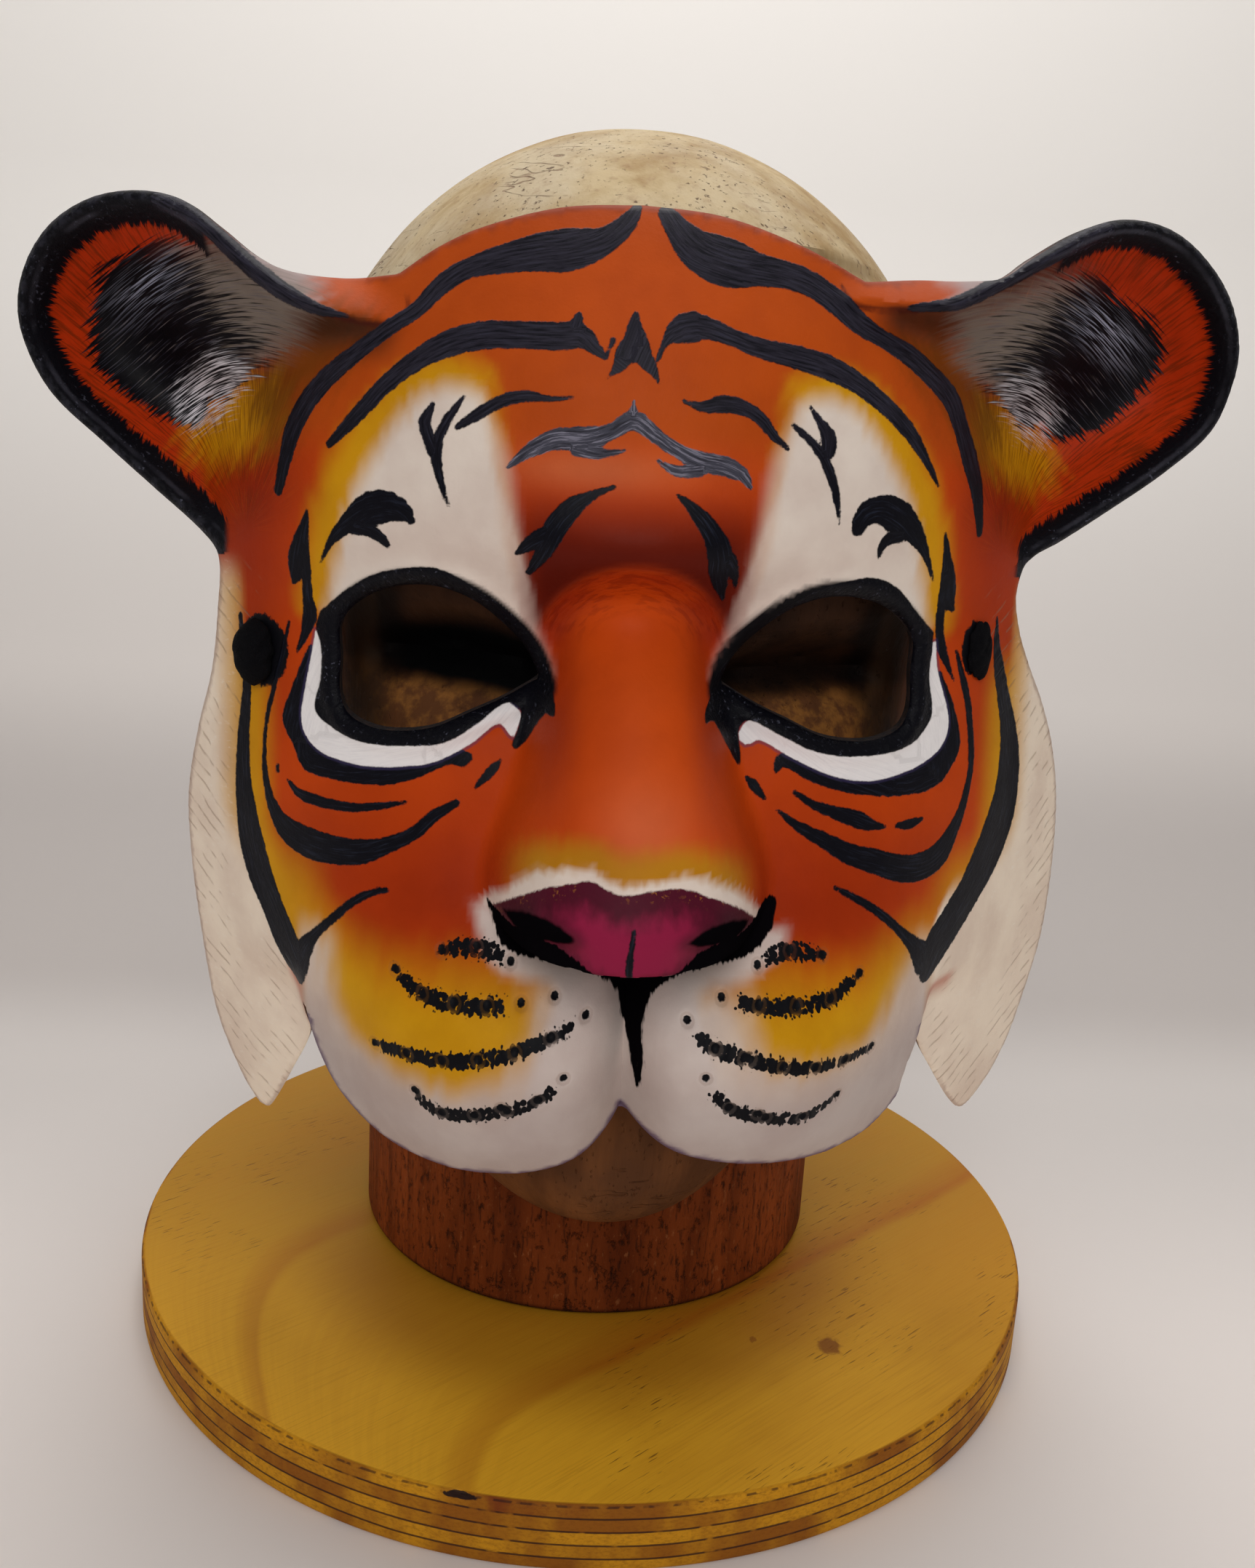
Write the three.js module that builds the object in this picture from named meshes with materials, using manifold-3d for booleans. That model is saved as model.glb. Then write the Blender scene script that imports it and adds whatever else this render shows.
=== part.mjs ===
// A painted leather tiger mask on its carved wooden head, neck and round plywood board.
// Millimetres, +Z up. The mask looks along -Y, its own right ear at -X.
// The origin is the centre of the board's underside.
//
// The mask is one sheet of leather. Its front is described as a depth towards the viewer, D(x, z),
// so a point of the front surface is (x, -D, z). The sheet is cut to its outline, and to the two
// eye holes, by prisms that run along Y.

import * as THREE from 'three';
import { mergeVertices } from 'three/addons/utils/BufferGeometryUtils.js';
import Module from 'manifold-3d';

const wasm = await Module();
wasm.setup();

// Driving dimensions

const LEATHER = 3;
const STEEPEST = 2.4; // the wall measured along Y grows with the slope, up to this many times
const FIT_GAP = 1.0; // air between the leather and the wooden head where they nearly touch
const FIT_REACH = 6; // the gap is kept this far to each side of a point of the head
const MESH_GAP = 0.3;

const BOARD_RADIUS = 110;
const BOARD_THICK = 15;
const BOARD_EASE = 1.2;
const BOARD_SIDES = 64;

const NECK_RADIUS = 56.5;
const NECK_TOP = 84;
const NECK_SIDES = 40;
const NECK_AXIS_Y = 5.5;

const HEAD_TOP = 273.8;
const CHIN_BOTTOM = 49;
const HEAD_AXIS_Y = 8;

const LEAN = 1.3; // degrees: the mask sits a little askew, its left ear (+X) up
const LEAN_ABOUT = [0, 148];

// Profiles of the mask: [z, value]

const FACE_PROFILE = [
  [40, 62], [70, 74], [100, 82], [130, 85], [160, 85], [178, 85], [192, 89], [205, 90],
  [220, 87], [235, 80], [249, 71], [262, 58],
];
const FACE_HALF_BREADTH = [
  [40, 96], [80, 99], [130, 101], [160, 98], [184, 95], [205, 88], [225, 80], [245, 70], [262, 60],
];
const FLARE_FROM = 0.8; // past this share of the half breadth the sides run on straight
const NOSE_RIDGE = [
  [120, 116], [126, 120], [132, 121], [138, 118.5], [146, 113], [156, 106], [166, 98.5],
  [175, 90.5], [182, 86], [190, 83],
];
const NOSE_HALF_WIDTH = [
  [120, 19], [128, 23], [138, 21], [150, 16], [162, 13], [175, 12], [190, 12],
];

// Crest of each ear's rolled rim, from the forehead round to the foot of the ear: [|x|, z, depth]

const EAR_RIM = {
  left: [
    [40, 228, 70], [51, 229.5, 68.5], [60, 231.5, 66.5], [68, 236, 63], [76, 242.5, 59],
    [85, 248.3, 55], [95, 249.8, 51], [105, 247.5, 46.5], [113, 242, 43], [118, 234, 40.5],
    [118.8, 226, 39], [114, 215, 38.5], [104, 205.5, 39], [93, 196.5, 41], [81, 187, 45],
  ],
  right: [
    [37, 235, 70], [48, 234.8, 68.5], [58, 235.5, 66.5], [67, 240, 62.5], [76, 244.8, 59],
    [86, 250, 55], [96, 251.8, 51], [106, 249.5, 47], [115, 243, 43.5], [120.5, 235.5, 41],
    [122.5, 227, 39.5], [120, 216, 38.5], [111, 207, 39], [98, 198, 41], [83, 189, 45],
  ],
};
const EAR_RIM_STEPS = 60;
const EAR_BOWL = 15;
const EAR_BOWL_RUN = 8;
const EAR_FROM_Z = 176;
const EAR_FROM_X = 30;

// Outline of the sheet seen from the front: [|x|, z]. Runs that meet at a corner are kept apart.

const TOP_EDGE = {
  left: [[0, 249.4], [14, 248.7], [28, 245.2], [36, 241.8], [43.5, 237]],
  right: [[0, 249.4], [14, 248.2], [28, 244.2], [36, 241], [41, 238.6]],
};
const EAR_AND_CHEEK_FLAP = {
  left: [
    [43.5, 237], [54.7, 236.4], [64, 237.2], [70, 239.8], [76.6, 244.6], [84, 249.4], [92.7, 251],
    [103.4, 249.7], [112.9, 244.5], [119.1, 235.1], [120, 226], [115.5, 215], [105, 205],
    [95, 196.4], [86, 189], [81.6, 184], [82, 174], [83.8, 161], [87.6, 148.5], [90.8, 133.5],
    [90.8, 119], [89.5, 104], [87, 84], [82.4, 72], [77.6, 64.6], [75, 63.9], [72.6, 67.2],
    [67, 78.5], [62.4, 89], [62.6, 97], [61.7, 104],
  ],
  right: [
    [41, 238.6], [52, 239.7], [61, 239.8], [67, 240.5], [73, 244.4], [83.4, 250.3], [92.5, 253],
    [103.6, 252.1], [112.5, 247.5], [119.5, 241.1], [123.6, 232], [123.6, 224.5], [120.5, 214.5],
    [112, 206.3], [101, 198.5], [90, 191.5], [83, 187.6], [80.2, 181], [82.2, 173], [86.4, 165],
    [91.3, 157], [95.8, 147], [99, 134], [100.4, 116], [99.8, 100], [96.8, 87], [92.6, 74],
    [86.6, 65.4], [81.4, 62.6], [77, 66.6], [70, 77.5], [63.6, 89], [62.4, 97], [61, 104.5],
  ],
};
const MUZZLE_EDGE = {
  left: [
    [61.7, 104], [61.2, 98.5], [58.5, 90.8], [53.9, 84], [45.4, 79.2], [36.4, 77.8], [28, 77.3],
    [19.8, 78], [13.2, 80.1], [6.5, 83.2], [1.6, 87], [0, 90],
  ],
  right: [
    [61, 104.5], [61.4, 98.5], [60.4, 89], [57.6, 82.4], [50.5, 78.2], [41.3, 79], [31.5, 80.8],
    [23.5, 81.8], [16, 83.4], [9, 85.4], [3.6, 87.8], [0, 90],
  ],
};
const EYE_HOLE = [
  [16.6, 166.5], [19, 171.6], [23, 176.4], [28.4, 180.8], [34.5, 183], [41, 182.9], [46.8, 181],
  [51.4, 177.8], [53.9, 174.2], [53.9, 168], [54, 161.5], [52.2, 157.8], [47, 155.9], [41, 156],
  [35.5, 157.2], [29.6, 159.9], [23, 162.8],
];
const OUTLINE_STEP = 6; // length of a chord on the outline
const EYE_STEP = 4;

// The mesh of the sheet: square cells, split where the surface bends

const SHEET_FROM = [-128, 56];
const SHEET_CELLS = [20, 16];
const CELL = 12.8;
const CELL_SPLITS = 2;
const CELL_ERROR = 1.2; // how far a flat cell may stray from the true depth
const FRONT_Y = -150; // the cutting prisms run from here
const REAR_Y = 40;

// Ties: the knot that shows at each temple, [x, z], half height, half width, half depth

const KNOTS = {
  tie_knot_left: { at: [-71.4, 167], high: 7.2, wide: 5.4, proud: 5.2 },
  tie_knot_right: { at: [69.6, 171], high: 6.6, wide: 4.2, proud: 2.4 },
};
const KNOT_SINK = 0.6; // along Y, so about 0.3 mm square to the sloping leather

// Profiles of the wooden head about its own axis: [z, value]

const HEAD_HALF_BREADTH = [
  [49, 16], [52, 30], [59, 41], [71, 50], [90, 57], [115, 62], [140, 67], [165, 72], [188, 74],
  [210, 71.5], [230, 64.5], [248, 53], [260, 40.3], [268, 26.8], [272.3, 13.8], [273.8, 0],
];
const HEAD_FRONT = [
  [49, 66], [52, 80], [59, 88], [71, 91.5], [85, 90], [100, 93], [120, 94], [145, 93], [165, 92],
  [188, 97], [205, 98], [222, 91], [238, 80], [252, 65.5], [262, 50], [270, 29], [273, 13],
  [273.8, 0],
];
const HEAD_BACK = [
  [49, 20], [52, 32], [59, 42], [71, 50], [90, 62], [115, 78], [140, 89], [165, 94], [188, 95],
  [210, 91.8], [230, 82.8], [248, 68], [260, 51.7], [268, 34.4], [272.3, 17.7], [273.8, 0],
];
const HEAD_SIDES = 32;

// Small helpers

const clamp = (v, low, high) => Math.min(Math.max(v, low), high);

function smoothStep(from, to, v) {
  const t = clamp((v - from) / (to - from), 0, 1);
  return t * t * (3 - 2 * t);
}

function smoothMax(a, b, width) {
  const h = clamp(0.5 + (0.5 * (a - b)) / width, 0, 1);
  return b + (a - b) * h + width * h * (1 - h);
}

function mound(x, z, cx, cz, rx, rz) {
  return Math.exp(-(((x - cx) / rx) ** 2) - ((z - cz) / rz) ** 2);
}

// A smooth curve through [key, value] pairs, held level past its ends
function through(keys, at, column = 1) {
  const last = keys.length - 1;
  const x = clamp(at, keys[0][0], keys[last][0]);
  let i = 0;
  while (i < last - 1 && x > keys[i + 1][0]) i += 1;
  const slope = (k) => {
    const low = Math.max(k - 1, 0);
    const high = Math.min(k + 1, last);
    return (keys[high][column] - keys[low][column]) / (keys[high][0] - keys[low][0]);
  };
  const h = keys[i + 1][0] - keys[i][0];
  const t = (x - keys[i][0]) / h;
  const p = keys[i][column];
  const q = keys[i + 1][column];
  return p * (2 * t ** 3 - 3 * t ** 2 + 1) + slope(i) * h * (t ** 3 - 2 * t ** 2 + t)
    + q * (3 * t ** 2 - 2 * t ** 3) + slope(i + 1) * h * (t ** 3 - t ** 2);
}

// Depth of the mask's front surface

function faceDepth(a, z) {
  const share = a / through(FACE_HALF_BREADTH, z);
  const profile = through(FACE_PROFILE, z);
  if (share < FLARE_FROM) return profile * Math.sqrt(1 - share * share);
  const height = Math.sqrt(1 - FLARE_FROM * FLARE_FROM);
  return profile * (height - (FLARE_FROM / height) * (share - FLARE_FROM));
}

function noseDepth(a, z) {
  const half = through(NOSE_HALF_WIDTH, z);
  const side = Math.max(a - 0.55 * half, 0);
  const bar = through(NOSE_RIDGE, z) - (0.55 * a * a) / half - 0.1 * side * side;
  const undercut = 60 * smoothStep(125, 117, z);
  const root = 60 * smoothStep(186, 202, z);
  const nostril = 3.5 * mound(a, z, 13, 127.5, 5, 3);
  return bar - undercut - root - nostril;
}

function muzzleLobe(a, z) {
  const across = a < 24 ? 45 : 34;
  const along = z > 98 ? 26 : 40;
  return 30 * Math.exp(-(Math.abs((a - 24) / across) ** 2.4) - Math.abs((z - 98) / along) ** 2.4);
}

// The cheek flap hangs behind the muzzle lobe, on the far side of the slit between them
function behindMuzzle(a, z) {
  const edge = 61.5 - 4 * smoothStep(100, 84, z);
  return smoothStep(edge - 0.5, edge + 4, a) * smoothStep(108, 97, z);
}

function rimCrest(keys) {
  const along = [0];
  for (let i = 1; i < keys.length; i += 1) {
    along.push(along[i - 1] + Math.hypot(keys[i][0] - keys[i - 1][0], keys[i][1] - keys[i - 1][1]));
  }
  const table = keys.map((key, i) => [along[i], ...key]);
  const crest = [];
  for (let i = 0; i <= EAR_RIM_STEPS; i += 1) {
    const s = (along[along.length - 1] * i) / EAR_RIM_STEPS;
    crest.push([through(table, s, 1), through(table, s, 2), through(table, s, 3)]);
  }
  return crest;
}

const CREST = { left: rimCrest(EAR_RIM.left), right: rimCrest(EAR_RIM.right) };

// The ear: a bowl inside the crest of its rim, and the wall that falls away behind the crest.
// The crest's depth is shared out by nearness, so it has no step midway between two rims.
function earDepth(a, z, crest) {
  let nearest = Infinity;
  let outside = false;
  let sum = 0;
  let weights = 0;
  for (let i = 0; i < crest.length - 1; i += 1) {
    const [ax, az, ad] = crest[i];
    const [bx, bz, bd] = crest[i + 1];
    const dx = bx - ax;
    const dz = bz - az;
    const t = clamp(((a - ax) * dx + (z - az) * dz) / (dx * dx + dz * dz), 0, 1);
    const distance = Math.hypot(a - ax - t * dx, z - az - t * dz);
    const weight = 1 / (distance ** 4 + 0.01);
    sum += weight * (ad + t * (bd - ad));
    weights += weight;
    if (distance < nearest) {
      nearest = distance;
      outside = dx * (z - az) - dz * (a - ax) > 0;
    }
  }
  const depth = sum / weights;
  if (outside) return depth - 0.9 * nearest - 0.1 * nearest * nearest;
  return depth - EAR_BOWL * (1 - Math.exp(-((nearest / EAR_BOWL_RUN) ** 1.6)));
}

function maskDepth(x, z) {
  const a = Math.abs(x);
  let depth = faceDepth(a, z);
  depth += 6.5 * mound(a, z, 0, 191, 20, 8); // brow over the nose root
  depth += 1.5 * mound(a, z, 34, 195, 20, 12); // brow over each eye
  depth -= 6 * mound(a, z, 17, 167, 11, 13); // hollow between eye and nose
  depth -= 2.5 * mound(a, z, 36, 168, 20, 12); // eye socket
  depth += 3 * mound(a, z, 46, 140, 22, 16); // cheek
  depth += muzzleLobe(a, z) * (1 - behindMuzzle(a, z));
  depth -= 9 * Math.exp(-((a / 5) ** 1.5)) * smoothStep(128, 112, z); // groove under the nose
  depth = smoothMax(depth, noseDepth(a, z), 5);
  if (z > EAR_FROM_Z && a > EAR_FROM_X) {
    depth = smoothMax(depth, earDepth(a, z, x < 0 ? CREST.left : CREST.right), 4);
  }
  return Math.max(depth, 0);
}

// The wall measured along Y, so that it stays the leather's thickness square to the surface
function wallAlongY(x, z) {
  const e = 0.5;
  const sx = (maskDepth(x + e, z) - maskDepth(x - e, z)) / (2 * e);
  const sz = (maskDepth(x, z + e) - maskDepth(x, z - e)) / (2 * e);
  return LEATHER * Math.min(Math.sqrt(1 + sx * sx + sz * sz), STEEPEST);
}

// Meshes and solids

function meshGeometry(points, faces) {
  const geometry = new THREE.BufferGeometry();
  geometry.setAttribute('position', new THREE.Float32BufferAttribute(points.flat(), 3));
  geometry.setIndex(faces.flat());
  return geometry;
}

function toSolid(geometry) {
  const plain = geometry.clone();
  plain.deleteAttribute('normal');
  plain.deleteAttribute('uv');
  const merged = mergeVertices(plain, 1e-4);
  return new wasm.Manifold(new wasm.Mesh({
    numProp: 3,
    vertProperties: new Float32Array(merged.attributes.position.array),
    triVerts: new Uint32Array(merged.index.array),
  }));
}

function toGeometry(solid) {
  const mesh = solid.getMesh();
  const geometry = new THREE.BufferGeometry();
  geometry.setAttribute('position', new THREE.BufferAttribute(mesh.vertProperties, 3));
  geometry.setIndex(new THREE.BufferAttribute(mesh.triVerts, 1));
  geometry.computeVertexNormals();
  return geometry;
}

// A flat mesh of square cells in x and z, from a corner. A cell is split in four while split()
// asks for it, and neighbours stay within one split of each other, so the mesh has no gaps.
function cellMesh(minX, minZ, size, columns, rows, deepest, split) {
  const leaves = new Map();
  const divided = new Set();
  const name = (level, i, j) => `${level} ${i} ${j}`;
  const place = (cells, level) => size / 2 ** level * cells;
  const divide = (level, i, j) => {
    leaves.delete(name(level, i, j));
    divided.add(name(level, i, j));
    for (const [di, dj] of [[0, 0], [1, 0], [0, 1], [1, 1]]) grow(level + 1, 2 * i + di, 2 * j + dj);
  };
  const grow = (level, i, j) => {
    leaves.set(name(level, i, j), [level, i, j]);
    const wide = place(1, level);
    const bends = split(minX + place(i, level), minZ + place(j, level), wide);
    if (level < deepest && bends) divide(level, i, j);
  };
  for (let i = 0; i < columns; i += 1) {
    for (let j = 0; j < rows; j += 1) grow(0, i, j);
  }
  const finerNeighbour = ([level, i, j]) => [
    [2 * i, 2 * j - 1], [2 * i + 1, 2 * j - 1], [2 * i + 2, 2 * j], [2 * i + 2, 2 * j + 1],
    [2 * i + 1, 2 * j + 2], [2 * i, 2 * j + 2], [2 * i - 1, 2 * j + 1], [2 * i - 1, 2 * j],
  ].some(([u, v]) => divided.has(name(level + 1, u, v)));
  for (let uneven = true; uneven;) {
    const coarse = [...leaves.values()].filter(finerNeighbour);
    coarse.forEach((cell) => divide(...cell));
    uneven = coarse.length > 0;
  }
  const unit = size / 2 ** (deepest + 1);
  const numbers = new Map();
  const points = [];
  const vertex = (u, v) => {
    const key = `${u} ${v}`;
    if (!numbers.has(key)) {
      numbers.set(key, points.length);
      points.push([minX + u * unit, minZ + v * unit]);
    }
    return numbers.get(key);
  };
  const faces = [];
  for (const [level, i, j] of leaves.values()) {
    const half = 2 ** (deepest - level);
    const [u, v] = [2 * half * i, 2 * half * j];
    const sides = [[i, j - 1], [i + 1, j], [i, j + 1], [i - 1, j]];
    const corners = [[0, 0], [2, 0], [2, 2], [0, 2]];
    const middles = [[1, 0], [2, 1], [1, 2], [0, 1]];
    const ring = [];
    for (let k = 0; k < 4; k += 1) {
      ring.push(vertex(u + corners[k][0] * half, v + corners[k][1] * half));
      if (divided.has(name(level, ...sides[k]))) {
        ring.push(vertex(u + middles[k][0] * half, v + middles[k][1] * half));
      }
    }
    if (ring.length === 4) {
      faces.push([ring[0], ring[1], ring[2]], [ring[0], ring[2], ring[3]]);
    } else {
      const centre = vertex(u + half, v + half);
      ring.forEach((first, k) => faces.push([first, ring[(k + 1) % ring.length], centre]));
    }
  }
  return { points, faces };
}

// A closed slab over a flat mesh, between two depth functions
function slab({ points, faces }, front, back) {
  const count = points.length;
  const layer = (depth) => points.map(([x, z]) => [x, -depth(x, z), z]);
  const edges = new Set(faces.flatMap(([a, b, c]) => [`${a} ${b}`, `${b} ${c}`, `${c} ${a}`]));
  const walls = [];
  for (const edge of edges) {
    const [a, b] = edge.split(' ').map(Number);
    if (!edges.has(`${b} ${a}`)) walls.push([b, a, a + count], [b, a + count, b + count]);
  }
  const rear = faces.map(([a, b, c]) => [a + count, c + count, b + count]);
  return toSolid(meshGeometry([...layer(front), ...layer(back)], [...faces, ...rear, ...walls]));
}

// Evenly spaced points on a smooth run through the given ones, without the last
function runPoints(run, step) {
  const curve = new THREE.CatmullRomCurve3(
    run.map(([x, z]) => new THREE.Vector3(x, z, 0)), false, 'centripetal');
  const count = Math.max(2, Math.round(curve.getLength() / step));
  return curve.getSpacedPoints(count).slice(0, -1).map((p) => [p.x, p.y]);
}

function ringPoints(ring, step) {
  const curve = new THREE.CatmullRomCurve3(
    ring.map(([x, z]) => new THREE.Vector3(x, z, 0)), true, 'centripetal');
  const count = Math.round(curve.getLength() / step);
  return curve.getSpacedPoints(count).slice(0, -1).map((p) => [p.x, p.y]);
}

// A prism along Y with the given outline in x and z
function prism(outline, nearY, farY) {
  const shape = new THREE.Shape(outline.map(([x, z]) => new THREE.Vector2(x, z)));
  const geometry = new THREE.ExtrudeGeometry(shape, { depth: farY - nearY, bevelEnabled: false });
  geometry.rotateX(Math.PI / 2);
  geometry.translate(0, farY, 0);
  return toSolid(geometry);
}

function sideOutline(side) {
  return [TOP_EDGE[side], EAR_AND_CHEEK_FLAP[side], MUZZLE_EDGE[side]]
    .flatMap((run) => runPoints(run, OUTLINE_STEP));
}

function maskOutline() {
  const notch = MUZZLE_EDGE.right[MUZZLE_EDGE.right.length - 1];
  const right = sideOutline('right');
  const left = sideOutline('left').slice(1).reverse();
  return [...right, notch, ...left.map(([x, z]) => [-x, z])];
}

function contains(outline, x, z) {
  let inside = false;
  outline.forEach(([ax, az], i) => {
    const [bx, bz] = outline[(i + 1) % outline.length];
    if ((az > z) !== (bz > z) && x < ax + ((bx - ax) * (z - az)) / (bz - az)) inside = !inside;
  });
  return inside;
}

function mask() {
  const outline = maskOutline();
  const shares = [0, 0.25, 0.5, 0.75, 1];
  const bends = (x, z, wide) => {
    const corners = [[0, 0], [1, 0], [0, 1], [1, 1]];
    const [a, b, c, d] = corners.map(([u, v]) => maskDepth(x + u * wide, z + v * wide));
    let used = false;
    let error = 0;
    for (const u of shares) {
      for (const v of shares) {
        const flat = (a * (1 - u) + b * u) * (1 - v) + (c * (1 - u) + d * u) * v;
        const [px, pz] = [x + u * wide, z + v * wide];
        if (contains(outline, px, pz)) {
          used = true;
          error = Math.max(error, Math.abs(maskDepth(px, pz) - flat));
        }
      }
    }
    return used && error > CELL_ERROR;
  };
  const cells = cellMesh(...SHEET_FROM, CELL, ...SHEET_CELLS, CELL_SPLITS, bends);
  const sheet = slab(cells, maskDepth, (x, z) => maskDepth(x, z) - wallAlongY(x, z));
  const cut = sheet.intersect(prism(outline, FRONT_Y, REAR_Y));
  const eye = ringPoints(EYE_HOLE, EYE_STEP);
  const rightEye = prism(eye, FRONT_Y, REAR_Y);
  const leftEye = prism(eye.map(([x, z]) => [-x, z]).reverse(), FRONT_Y, REAR_Y);
  return toGeometry(cut.subtract(rightEye).subtract(leftEye));
}

// A small round knot that sits on the leather
function knot({ at, high, wide, proud }) {
  const [x, z] = at;
  const e = 1;
  const sx = (maskDepth(x + e, z) - maskDepth(x - e, z)) / (2 * e);
  const sz = (maskDepth(x, z + e) - maskDepth(x, z - e)) / (2 * e);
  const ball = new THREE.IcosahedronGeometry(1, 1);
  ball.scale(wide, proud, high);
  const normal = new THREE.Vector3(-sx, -1, -sz).normalize();
  const turn = new THREE.Quaternion().setFromUnitVectors(new THREE.Vector3(0, -1, 0), normal);
  ball.applyQuaternion(turn);
  ball.translate(x, -maskDepth(x, z), z);
  const reach = 2 * high;
  const patch = cellMesh(x - reach, z - reach, reach / 2, 4, 4, 0, () => false);
  const leather = slab(patch, (u, v) => maskDepth(u, v) + KNOT_SINK, () => -60);
  return toGeometry(toSolid(ball).subtract(leather));
}

// A place on the head as it lies in the mask's own upright frame
function inMaskFrame(x, z) {
  const angle = THREE.MathUtils.degToRad(LEAN);
  const [px, pz] = LEAN_ABOUT;
  const [dx, dz] = [x - px, z - pz];
  return [
    px + dx * Math.cos(angle) + dz * Math.sin(angle),
    pz - dx * Math.sin(angle) + dz * Math.cos(angle),
  ];
}

// How far the wood may come forward of its axis and stay behind the leather all round the point
function roomBehindMask(x, z) {
  let room = Infinity;
  for (const dx of [-FIT_REACH, 0, FIT_REACH]) {
    for (const dz of [-FIT_REACH, 0, FIT_REACH]) {
      room = Math.min(room, maskDepth(x + dx, z + dz) - wallAlongY(x + dx, z + dz));
    }
  }
  return room - FIT_GAP + HEAD_AXIS_Y;
}

// Depth of the wooden head in front of its axis, at an angle from straight ahead
function headPoint(angle, z) {
  const s = Math.sin(angle);
  const c = Math.cos(angle);
  const reach = through(c > 0 ? HEAD_FRONT : HEAD_BACK, z);
  const x = through(HEAD_HALF_BREADTH, z) * Math.sign(s) * Math.abs(s) ** 0.94;
  let forward = reach * Math.sign(c) * Math.abs(c) ** 0.96;
  if (c > 0) {
    const a = Math.abs(x);
    forward += 11 * mound(a, z, 0, 143, 11, 15); // nose
    forward += 4 * mound(a, z, 0, 165, 9, 16);
    forward -= 17 * mound(a, z, 32, 168, 19, 13); // eye sockets
    forward -= 7 * mound(a, z, 19, 158, 8, 13); // sides of the nose
    forward += 3 * mound(a, z, 30, 186, 24, 7); // brow bone
    forward += 3.5 * mound(a, z, 0, 114, 20, 5); // lips
    forward -= 3 * mound(a, z, 0, 98, 20, 6); // hollow over the chin
    const covered = a < 78 && z > 92 && z < 252;
    if (covered) forward = Math.min(forward, roomBehindMask(...inMaskFrame(x, z)));
  }
  return [x, HEAD_AXIS_Y - forward, z];
}

function headForm() {
  const levels = [CHIN_BOTTOM, 50.5, 53, 57, 63, 70, 79, 90, 102, 112, 121, 130, 139, 147, 155, 162,
    169, 177, 186, 197, 209, 221, 232, 242, 251, 259, 266, 271];
  const points = [[0, HEAD_AXIS_Y - 20, CHIN_BOTTOM - 0.4]];
  const faces = [];
  const ring = (j, i) => 1 + j * HEAD_SIDES + (i % HEAD_SIDES);
  for (const z of levels) {
    for (let i = 0; i < HEAD_SIDES; i += 1) {
      points.push(headPoint(Math.PI * (2 * i / HEAD_SIDES - 1) + Math.PI / HEAD_SIDES, z));
    }
  }
  const top = points.length;
  points.push([0, HEAD_AXIS_Y, HEAD_TOP]);
  for (let i = 0; i < HEAD_SIDES; i += 1) {
    faces.push([0, ring(0, i + 1), ring(0, i)]);
    faces.push([top, ring(levels.length - 1, i), ring(levels.length - 1, i + 1)]);
    for (let j = 0; j < levels.length - 1; j += 1) {
      faces.push([ring(j, i), ring(j, i + 1), ring(j + 1, i + 1)]);
      faces.push([ring(j, i), ring(j + 1, i + 1), ring(j + 1, i)]);
    }
  }
  const head = toSolid(meshGeometry(points, faces));
  const neckHeight = NECK_TOP - BOARD_THICK - MESH_GAP;
  const neck = new THREE.CylinderGeometry(NECK_RADIUS, NECK_RADIUS, neckHeight, NECK_SIDES);
  neck.rotateX(Math.PI / 2);
  neck.translate(0, NECK_AXIS_Y, BOARD_THICK + MESH_GAP + neckHeight / 2);
  return toGeometry(head.add(toSolid(neck)));
}

function baseBoard() {
  const profile = [
    [0, 0], [BOARD_RADIUS - BOARD_EASE, 0], [BOARD_RADIUS, BOARD_EASE],
    [BOARD_RADIUS, BOARD_THICK - BOARD_EASE], [BOARD_RADIUS - BOARD_EASE, BOARD_THICK],
    [0, BOARD_THICK],
  ].map(([r, z]) => new THREE.Vector2(r, z));
  const board = new THREE.LatheGeometry(profile, BOARD_SIDES);
  board.rotateX(Math.PI / 2);
  return toGeometry(toSolid(board));
}

// Materials and the finished group

const PAINTED_LEATHER = new THREE.MeshStandardMaterial({ color: 0xb5451c, roughness: 0.45 });
const BLACK_TIE = new THREE.MeshStandardMaterial({ color: 0x0b0c10, roughness: 0.9 });
const HEAD_WOOD = new THREE.MeshStandardMaterial({ color: 0xb99f78, roughness: 0.7 });
const PLYWOOD = new THREE.MeshStandardMaterial({ color: 0xb8863b, roughness: 0.45 });

function piece(name, geometry, material) {
  const mesh = new THREE.Mesh(geometry, material);
  mesh.name = name;
  return mesh;
}

// The mask and its knots lean together, about a point of the face
const leaning = new THREE.Group();
leaning.position.set(LEAN_ABOUT[0], 0, LEAN_ABOUT[1]);
leaning.rotation.y = -THREE.MathUtils.degToRad(LEAN);
const upright = new THREE.Group();
upright.position.set(-LEAN_ABOUT[0], 0, -LEAN_ABOUT[1]);
upright.add(piece('mask', mask(), PAINTED_LEATHER));
for (const [name, size] of Object.entries(KNOTS)) upright.add(piece(name, knot(size), BLACK_TIE));
leaning.add(upright);

const group = new THREE.Group();
group.add(piece('base_board', baseBoard(), PLYWOOD));
group.add(piece('head_form', headForm(), HEAD_WOOD));
group.add(leaning);

export default group;
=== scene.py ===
# %% [markdown]
# # A painted leather tiger mask on its wooden head
#
# The mask is one sheet of leather, formed wet over a mould, cut out, and painted. It is worn by a
# carved wooden head on a round plywood board. Each step below says what a piece is in real life, how
# it could be made in Blender, and why this way was chosen.
#
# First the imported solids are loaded. The finished pieces take their places, so the measures below are
# the ones that the solids were made from.

import functools
import math

import bpy
import numpy as np
from mathutils import Matrix


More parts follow.
